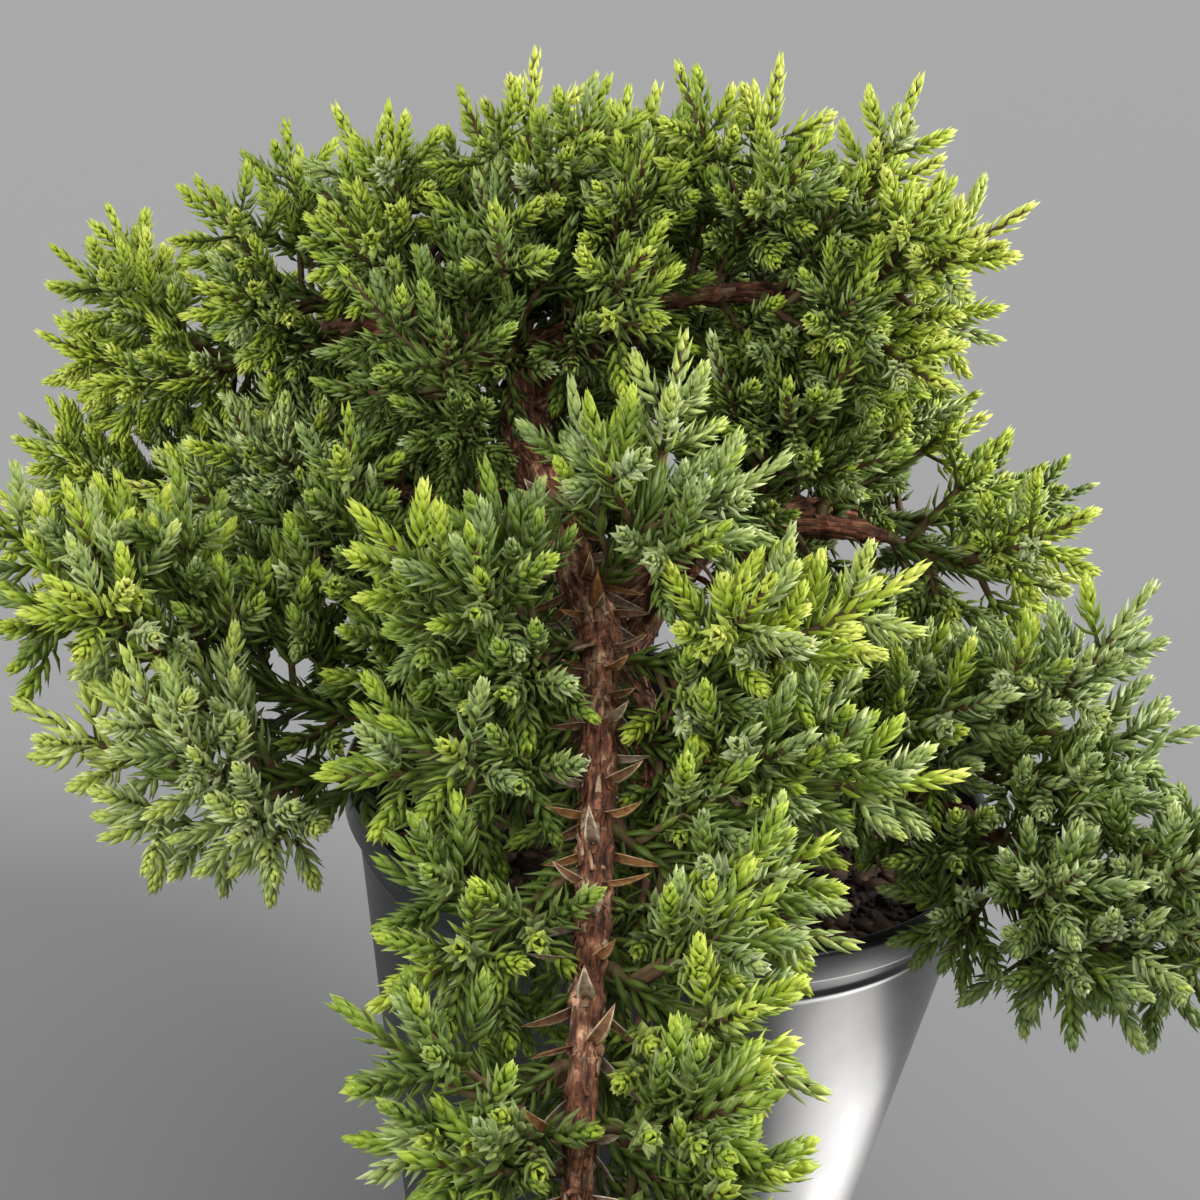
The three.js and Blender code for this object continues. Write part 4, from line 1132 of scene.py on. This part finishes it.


# Needles
# The needles are short, stiff and keeled, three to a whorl, and curve in toward the shoot, with a
# pale waxy band on the upper face. Old ones are blue-green, and young tips turn yellow-green.
# shade_green, the darkest tone, goes to the oldest needles deep in the crown, so it also paints the shade
# there
TONES = {
    "shade_green": ((0.070, 0.110, 0.012), (0.115, 0.160, 0.030)),
    "old_blue_green": ((0.120, 0.175, 0.022), (0.250, 0.310, 0.105)),
    "summer_green": ((0.185, 0.265, 0.024), (0.330, 0.405, 0.090)),
    "fresh_green": ((0.290, 0.380, 0.028), (0.430, 0.505, 0.085)),
    "yellow_green": ((0.405, 0.490, 0.050), (0.530, 0.600, 0.120)),
    "cream_tip": ((0.530, 0.585, 0.100), (0.640, 0.680, 0.190)),
    "waxy_blue_green": ((0.160, 0.225, 0.060), (0.350, 0.410, 0.200)),
    "waxy_pale_green": ((0.270, 0.345, 0.095), (0.500, 0.560, 0.270)),
    "waxy_yellow_tip": ((0.390, 0.465, 0.090), (0.575, 0.635, 0.240)),
}
LIMB_FRESHNESS = 0.45
LIMB_WAXINESS = 0.12
AGE_TONES = 6
FINE_NEEDLE_Y = -22.0
NEEDLE_WIDTH = 1.32
NEEDLE_ANGLES = (0.96, 0.36, 0.34)
NEEDLE_CURL = 0.26

# For each kind of growth: what its foot and its tip add to its age, the step between its whorls of
# needles, how long the needles are at its foot and its tip, and how much of it is bare
SPRAYS = {
    "twig": (-0.12, 0.3, 1.8, 5.0, 2.8, 0.12),
    "shoot": (-0.12, 0.27, 1.05, 4.3, 2.0, 0.16),
    "stem": (0.05, 0.3, 1.0, 6.0, 5.6, 0.0),
    "tuft": (-0.1, 0.25, 1.05, 4.3, 2.0, 0.14),
    "end_tuft": (-0.1, 0.3, 1.05, 4.3, 2.0, 0.14),
}
WAXED_TONES = np.array([0, 0, 0, 1, 1, 2])
BLOCKED_SHOOT_SHARE = 0.62
SHOOT_SEED = 2024
NEEDLE_SEED = 77
PIECE_TRIANGLES = 190000

# A needle lies along +X from its base: its upper face looks to +Z and its keel hangs below
far_needle = np.array([[0, 0, 0], [0.36, 0.5, 0.08], [0.36, -0.5, 0.08], [0.36, 0, -0.36], [1, 0, 0]], float)
far_faces = np.array([[0, 1, 2], [0, 2, 3], [0, 3, 1], [1, 4, 2], [2, 4, 3], [3, 4, 1]])
far_upper = np.array([1, 0, 0, 1, 0, 0])
near_needle = np.array([
    [0, 0.34, 0.08], [0, -0.34, 0.08], [0, 0, -0.24],
    [0.45, 0.5, 0.12], [0.45, -0.5, 0.12], [0.45, 0, -0.32], [1, 0, 0.04]], float)
near_faces = np.array([
    [0, 3, 4], [0, 4, 1], [1, 4, 5], [1, 5, 2], [2, 5, 3], [2, 3, 0], [3, 6, 4], [4, 6, 5], [5, 6, 3]])
near_upper = np.array([1, 1, 0, 0, 0, 0, 1, 0, 0])

shoot_draw = np.random.default_rng(SHOOT_SEED)
sprays = []


def add_spray(kind, curve, first_side, age, waxy):
    """Puts down that needles grow along a bent line: their kind, the side they start on, and their age."""
    foot_age, tip_age, *needling = SPRAYS[kind]
    near = curve[2][1] < FINE_NEEDLE_Y
    sprays.append((*curve, first_side, near, age + foot_age, age + tip_age, *needling, waxy))


shoot_rods = []
for name, share, plan in twigs:
    freshness_and_shade, waxy = MASSES[name][4:] if name in MASSES else (LIMB_FRESHNESS, LIMB_WAXINESS)
    # Needles are younger the fresher the mass is, and toward the tips of stems and twigs; the darker old
    # tones at the feet and deep in the crown are partly painted shade, and the lighter tips partly painted
    # light
    outer = 0.04 + 0.30 * freshness_and_shade + 0.32 * share**1.4 + shoot_draw.normal(0, 0.06)
    add_spray("twig", plan["curve"], plan["side"], outer, waxy)
    for axis, foot, tip, along, outward, up, clear in plan["shoots"]:
        end = mixed(axis, tip, 1.0 if clear else BLOCKED_SHOOT_SHARE)
        bend = mixed(axis, end, 0.55) + outward * 0.9 + np.array([0, 0, -0.5])
        age = outer + 0.14 * up + shoot_draw.normal(0, 0.07)
        add_spray("shoot", [axis, bend, end], along, age, waxy)
        shoot_rods.append([axis, bend, end])
for name, curve in stems.items():
    add_spray("stem", curve, FIRST_SIDE, 0.0, MASSES[name][5])

# Short green tufts stand along both sides of the bare front bough, and a few more close the gap
# between its tip and the mass that grows on from it
TUFT_STEP = 3.4
TUFT_LENGTHS = (7.0, 13.0)
TUFT_ANGLE = 1.15
TUFT_LIFT = 0.05
TUFT_WAXINESS = 0.2
END_TUFTS = 12


def add_tuft(kind, carrier, share, toward, radius, least_age):
    path = side_path(
        carrier, share, np.array(toward), radius, TUFT_ANGLE, shoot_draw.uniform(*TUFT_LENGTHS), TUFT_LIFT)
    add_spray(kind, path, FIRST_SIDE, least_age + shoot_draw.uniform(0, 0.16), TUFT_WAXINESS)
    shoot_rods.append(path)


front = limb_curves["bough_front_lower"]
tuft_count = round(curve_length(front) / TUFT_STEP)
for tuft in range(tuft_count):
    share = mixed(0.06, 0.98, tuft / (tuft_count - 1))
    toward = [(-1) ** tuft, shoot_draw.uniform(-0.2, 0.2), -shoot_draw.uniform(0.7, 1.6)]
    add_tuft("tuft", front, share, toward, limb_radius("bough_front_lower", share), 0.2)
for tuft in range(END_TUFTS):
    toward = [(-1) ** tuft, 0.0, shoot_draw.uniform(-1.4, 1.0)]
    share = mixed(0.0, 0.4, tuft / (END_TUFTS - 1))
    add_tuft("end_tuft", stems["front_end"], share, toward, STEM_RADII[0], 0.24)

shoot_points, shoot_faces = rods(shoot_rods, [SHOOT_ROD_RADII] * len(shoot_rods), rings=3, sides=3)
shoot_finish = mottled_finish("soft_green_shoot_bark", (0.10, 0.12, 0.03), 0.65, 0.3, 380.0, 4.0, [
    (0.4, (0.075, 0.085, 0.022)), (0.65, (0.150, 0.185, 0.045))])
mesh_piece("side_shoots", shoot_points, [shoot_faces], [shoot_finish])


def lay_needles(rows):
    """Where every needle stands: its base, its three directions, length, width, tone and detail."""
    draw = np.random.default_rng(NEEDLE_SEED)
    a, b, c, first = (np.array([row[at] for row in rows], float) for at in range(4))
    near, age_low, age_high, spacing, long_low, long_high, start, waxy = (
        np.array([row[at] for row in rows], float) for at in range(4, 12))
    length = np.linalg.norm(b - a, axis=1) + np.linalg.norm(c - b, axis=1)
    counts = np.maximum(2, np.round(length * (1 - start) / spacing)).astype(int)
    spray = np.repeat(np.arange(len(rows)), counts)
    order = np.arange(len(spray)) - np.repeat(np.cumsum(counts) - counts, counts)
    place = (order + 0.5) / counts[spray]
    s = (start[spray] + (1 - start[spray]) * place**0.8)[:, None]
    centre, along, side, across = bent_lines(
        a[spray], b[spray], c[spray], s, first[spray] + FIRST_SIDE * 0.37)
    age = age_low[spray] + (age_high - age_low)[spray] * place**1.7 + draw.normal(0, 0.04, len(spray))
    tone = np.clip(np.floor(age * AGE_TONES), 0, AGE_TONES - 1).astype(int)
    waxed = (draw.uniform(0, 1, len(rows)) < waxy)[spray]
    tone = np.where(waxed & (tone > 1), AGE_TONES + WAXED_TONES[tone], tone)
    whorl = np.repeat(np.arange(len(spray)), 3)
    leaf = np.tile(np.arange(3), len(spray))
    turn = (order[whorl] * math.pi / 3 + leaf * 2 * math.pi / 3 + draw.normal(0, 0.16, len(whorl))
            + (spray[whorl] * 1.7) % 6.283)
    radial = np.cos(turn)[:, None] * side[whorl] + np.sin(turn)[:, None] * across[whorl]
    up = place[whorl]
    angle = (NEEDLE_ANGLES[0] - NEEDLE_ANGLES[1] * up - NEEDLE_ANGLES[2] * up**4
             + draw.normal(0, 0.09, len(whorl)))
    heading = np.cos(angle)[:, None] * along[whorl] + np.sin(angle)[:, None] * radial
    upper = np.sin(angle)[:, None] * along[whorl] - np.cos(angle)[:, None] * radial
    size = (long_low[spray] + (long_high - long_low)[spray] * place)[whorl]
    size = size * draw.uniform(0.86, 1.12, len(whorl))
    return {
        "base": centre[whorl] + radial * 0.25, "heading": heading, "upper": upper,
        "width": np.cross(upper, heading), "length": size, "tone": tone[whorl],
        "near": near[spray][whorl] > 0.5,
        "breadth": NEEDLE_WIDTH * (0.8 + 0.2 * size / 4.5) * draw.uniform(0.9, 1.1, len(whorl)),
    }


def needle_mesh(laid, chosen, shape, faces, upper):
    """The chosen needles as points, triangles, and which triangles are the pale upper face."""
    x, y, z = shape[:, 0], shape[:, 1], shape[:, 2]
    length = laid["length"][chosen][:, None, None]
    breadth = laid["breadth"][chosen][:, None, None]
    rise = z[None, :, None] * breadth + NEEDLE_CURL * (x**2)[None, :, None] * length
    points = (
        laid["base"][chosen][:, None]
        + laid["heading"][chosen][:, None] * (x[None, :, None] * length)
        + laid["width"][chosen][:, None] * (y[None, :, None] * breadth)
        + laid["upper"][chosen][:, None] * rise
    )
    triangles = copied(faces, len(shape), len(points))
    return points.reshape(-1, 3), triangles, np.tile(upper, len(points))


laid = lay_needles(sprays)
for tone, (tone_name, (under_colour, upper_colour)) in enumerate(TONES.items()):
    finishes = [
        plain_finish(tone_name + "_underside", under_colour, 0.5, 0.3),
        plain_finish(tone_name + "_waxy_face", upper_colour, 0.62, 0.2),
    ]
    batches = []
    for near, shape, faces, upper in ((True, near_needle, near_faces, near_upper),
                                      (False, far_needle, far_faces, far_upper)):
        chosen = np.flatnonzero((laid["tone"] == tone) & (laid["near"] == near))
        step = PIECE_TRIANGLES // len(faces)
        for start in range(0, len(chosen), step):
            points, triangles, pale = needle_mesh(laid, chosen[start:start + step], shape, faces, upper)
            if batches and len(batches[-1][1]) + len(triangles) < PIECE_TRIANGLES:
                held_points, held_triangles, held_pale = batches.pop()
                triangles = np.concatenate([held_triangles, triangles + len(held_points)])
                points = np.concatenate([held_points, points])
                pale = np.concatenate([held_pale, pale])
            batches.append((points, triangles, pale))
    for batch, (points, triangles, pale) in enumerate(batches):
        mesh_piece(f"needles_{tone_name}_{batch + 1}", points, [triangles], finishes,
                   pale, smooth=False)


# Dry needles
# Needles that have died stay on as brown keeled blades with pale edges, three or four at each swollen
# ring of the bare front bough, and on the inner part of the others. Most curl back as they dry.
DRY_SEED = 611
DRY_LENGTHS = (5.4, 8.4)
DRY_WIDTHS = (1.7, 2.5)
DRY_ANGLES = (0.75, 1.5)
DRY_CURLS = (-0.42, 0.12)
DRY_SHARES = {"bough_front_lower": (0.0, 0.97), "bough_front_upper": (0.3, 1.0), "trunk": (0.6, 0.95)}
USUAL_DRY_SHARES = (0.1, 0.6)
RING_BLADES = 4
CROWDED_RING_Y = -34.0
CROWDED_BLADES = 7
MISSING_BLADES = 0.1
DRY_MIX = (0.36, 0.42, 0.22)
DRY_COLOURS = {
    "red_brown": ((0.255, 0.110, 0.052), (0.370, 0.190, 0.098), (0.800, 0.620, 0.410)),
    "grey_tan": ((0.335, 0.220, 0.142), (0.475, 0.340, 0.235), (0.860, 0.740, 0.550)),
    "orange_brown": ((0.360, 0.150, 0.050), (0.500, 0.235, 0.088), (0.820, 0.560, 0.300)),
}
BACK, GROOVE, EDGE = range(3)
blade_shares = np.array([0.0, 0.25, 0.5, 0.75])
blade_halves = np.array([0.34, 0.5, 0.44, 0.25])
dry_draw = np.random.default_rng(DRY_SEED)
blades = []


def dry_blade(base, heading, upper, length, width, curl):
    """A folded lance-shaped blade: a dark middle groove between two pale raised edges, and its back."""
    across = np.cross(upper, heading)
    rows = []
    for share, half in zip(blade_shares, blade_halves):
        middle = base + heading * share * length + upper * curl * share**2 * length
        for side, rise in ((-1, 0.32), (-0.66, 0.2), (0, 0.0), (0.66, 0.2), (1, 0.32)):
            rows.append(middle + across * side * half * width + upper * rise * half * width)
        rows.append(middle - upper * 0.16 * width)
    tip = base + heading * length + upper * curl * length
    return np.array([*rows, tip])


blade_faces, blade_kinds = [], []
for row in range(3):
    low, high = 6 * row, 6 * row + 6
    for column in range(4):
        blade_faces += [[low + column, high + column, high + column + 1],
                        [low + column, high + column + 1, low + column + 1]]
        blade_kinds += [EDGE, EDGE] if column in (0, 3) else [GROOVE, GROOVE]
    blade_faces += [[low, low + 5, high + 5], [low, high + 5, high], [low + 4, high + 4, high + 5],
                    [low + 4, high + 5, low + 5]]
    blade_kinds += [BACK] * 4
for column in range(4):
    blade_faces.append([18 + column, 24, 19 + column])
    blade_kinds.append(EDGE if column in (0, 3) else GROOVE)
blade_faces += [[18, 23, 24], [23, 22, 24], [0, 1, 5], [1, 2, 5], [2, 3, 5], [3, 4, 5]]
blade_kinds += [BACK] * 6
blade_faces = np.array(blade_faces)

for name, curve in limb_curves.items():
    low_share, high_share = DRY_SHARES.get(name, USUAL_DRY_SHARES)
    length = curve_length(curve)
    for ring in range(int(length / NODE_STEP)):
        share = (ring + 0.5) * NODE_STEP / length
        if not low_share <= share <= high_share:
            continue
        cross = cross_at(curve, share)
        crowded = name == "bough_front_upper" and abs(cross[0][1] - CROWDED_RING_Y) < NODE_STEP / 2
        around = CROWDED_BLADES if crowded else RING_BLADES
        first_turn = dry_draw.uniform(0, 2 * math.pi)
        for leaf in range(around):
            if dry_draw.uniform() < MISSING_BLADES:
                continue
            radial = spoke(cross, first_turn + leaf * 2 * math.pi / around + dry_draw.normal(0, 0.15))
            angle = dry_draw.uniform(*DRY_ANGLES)
            curl = dry_draw.uniform(*DRY_CURLS)
            heading = cross[1] * math.cos(angle) + radial * math.sin(angle)
            upper = cross[1] * math.sin(angle) - radial * math.cos(angle)
            base = cross[0] + radial * limb_radius(name, share) * 0.85
            blades.append(dry_blade(base, heading, upper, dry_draw.uniform(*DRY_LENGTHS),
                                    dry_draw.uniform(*DRY_WIDTHS), curl))
        if crowded:
            up = unit(np.array([0.0, -0.25, 1.0]))
            base = cross[0] + np.array([0.0, -1.0, 1.0]) * limb_radius(name, share) * 0.6
            blades.append(dry_blade(base, up, unit(np.array([0.1, 1.0, 0.25])), 7.6, 2.3, -0.06))
blades = np.array(blades)
blade_tones = dry_draw.choice(len(DRY_COLOURS), len(blades), p=DRY_MIX)
for kind, (kind_name, colours) in enumerate(DRY_COLOURS.items()):
    finishes = [
        mottled_finish(f"dry_{kind_name}_{part}", colour, 0.8, 0.25, 1100.0, 4.0, [
            (0.35, tuple(0.5 * value for value in colour)), (0.6, colour)])
        for part, colour in zip(("back", "groove", "edge"), colours)
    ]
    chosen = blades[blade_tones == kind]
    triangles = copied(blade_faces, blades.shape[1], len(chosen))
    mesh_piece(f"dry_needles_{kind_name}", chosen.reshape(-1, 3), [triangles], finishes,
               np.tile(blade_kinds, len(chosen)), smooth=False)


# Floor, light and camera
# The pot stands on a plain pale floor in soft light from the right, and the camera looks down the
# long front bough as the photograph does.
bpy.ops.mesh.primitive_grid_add(x_subdivisions=2, y_subdivisions=2, size=8.0, location=(0, 0, -0.0004))
floor = bpy.context.object
floor.name = "floor"
floor.data.materials.append(plain_finish("pale_floor", (0.375, 0.373, 0.377), 0.9, 0.2))
floor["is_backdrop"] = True

world = bpy.context.scene.world or bpy.data.worlds.new("soft_sky")
bpy.context.scene.world = world
world.use_nodes = True
sky = world.node_tree.nodes["Background"].inputs
sky["Color"].default_value = (0.80, 0.81, 0.83, 1)
sky["Strength"].default_value = 0.8


def light(name, kind, place, target, **settings):
    """A light at a place, turned toward a target, that the camera doesn't see itself."""
    lamp = bpy.data.lights.new(name, kind)
    for key, value in settings.items():
        setattr(lamp, key, value)
    made = bpy.data.objects.new(name, lamp)
    bpy.context.scene.collection.objects.link(made)
    made.location = place
    made.rotation_euler = (Vector(target) - Vector(place)).to_track_quat("-Z", "Y").to_euler()
    made.visible_camera = False
    return made


light("daylight", "SUN", (0.9, -0.25, 1.1), (0, 0, 0.1),
      energy=1.25, angle=math.radians(24), color=(1.0, 0.985, 0.95))
light("sky_glow", "SUN", (-0.7, 0.75, 0.75), (0, 0, 0.1),
      energy=0.5, angle=math.radians(50), color=(1.0, 1.0, 0.97))
# The panels on both sides light the plant alone, so that they leave no bright patches on the floor
plant_only = bpy.data.collections.new("plant_only")
for piece in bpy.context.scene.objects:
    if piece.type == "MESH" and piece != floor:
        plant_only.objects.link(piece)
for name, place, target, wide, high, power, colour in (
    ("window", (0.8, 0.1, 0.5), (0, 0, 0.12), 0.6, 0.8, 13.0, (1.0, 0.98, 0.95)),
    ("left_fill", (-0.95, -0.75, 0.55), (-0.03, 0, 0.12), 1.1, 0.9, 16.0, (0.98, 0.99, 1.0)),
):
    panel = light(name, "AREA", place, target, shape="RECTANGLE", size=wide, size_y=high,
                  energy=power, color=colour)
    panel.light_linking.receiver_collection = plant_only

# The sheen down the pot's right side comes from low panels that only the pot mirrors
sheen_spot = (0.0915, -0.0395, 0.002)
mirrored = bpy.data.collections.new("pot_only")
mirrored.objects.link(pot)
for name, wide, high, power in (("sheen_core", 0.08, 0.034, 0.085), ("sheen_halo", 0.1, 0.07, 0.13)):
    panel = light(name, "AREA", sheen_spot, (0, 0, 0.1), shape="RECTANGLE", size=wide, size_y=high,
                  energy=power, color=(1.0, 0.98, 0.96))
    panel.rotation_euler = (math.pi, 0, math.radians(-52))
    panel.light_linking.receiver_collection = mirrored

camera_data = bpy.data.cameras.new("camera")
camera = bpy.data.objects.new("camera", camera_data)
bpy.context.scene.collection.objects.link(camera)
bpy.context.scene.camera = camera
camera_data.sensor_width = SENSOR
camera_data.lens = LENS
camera_data.clip_start = 0.01
camera.location = EYE * MM
camera.rotation_mode = "QUATERNION"
camera.rotation_quaternion = Matrix([*zip(picture_right, picture_up, -ahead)]).to_quaternion()
bpy.context.scene.view_settings.view_transform = "Standard"

shown_low, shown_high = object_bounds()
sizes = {"cad": [list(solid_low), list(solid_high)], "visual": [list(shown_low), list(shown_high)]}
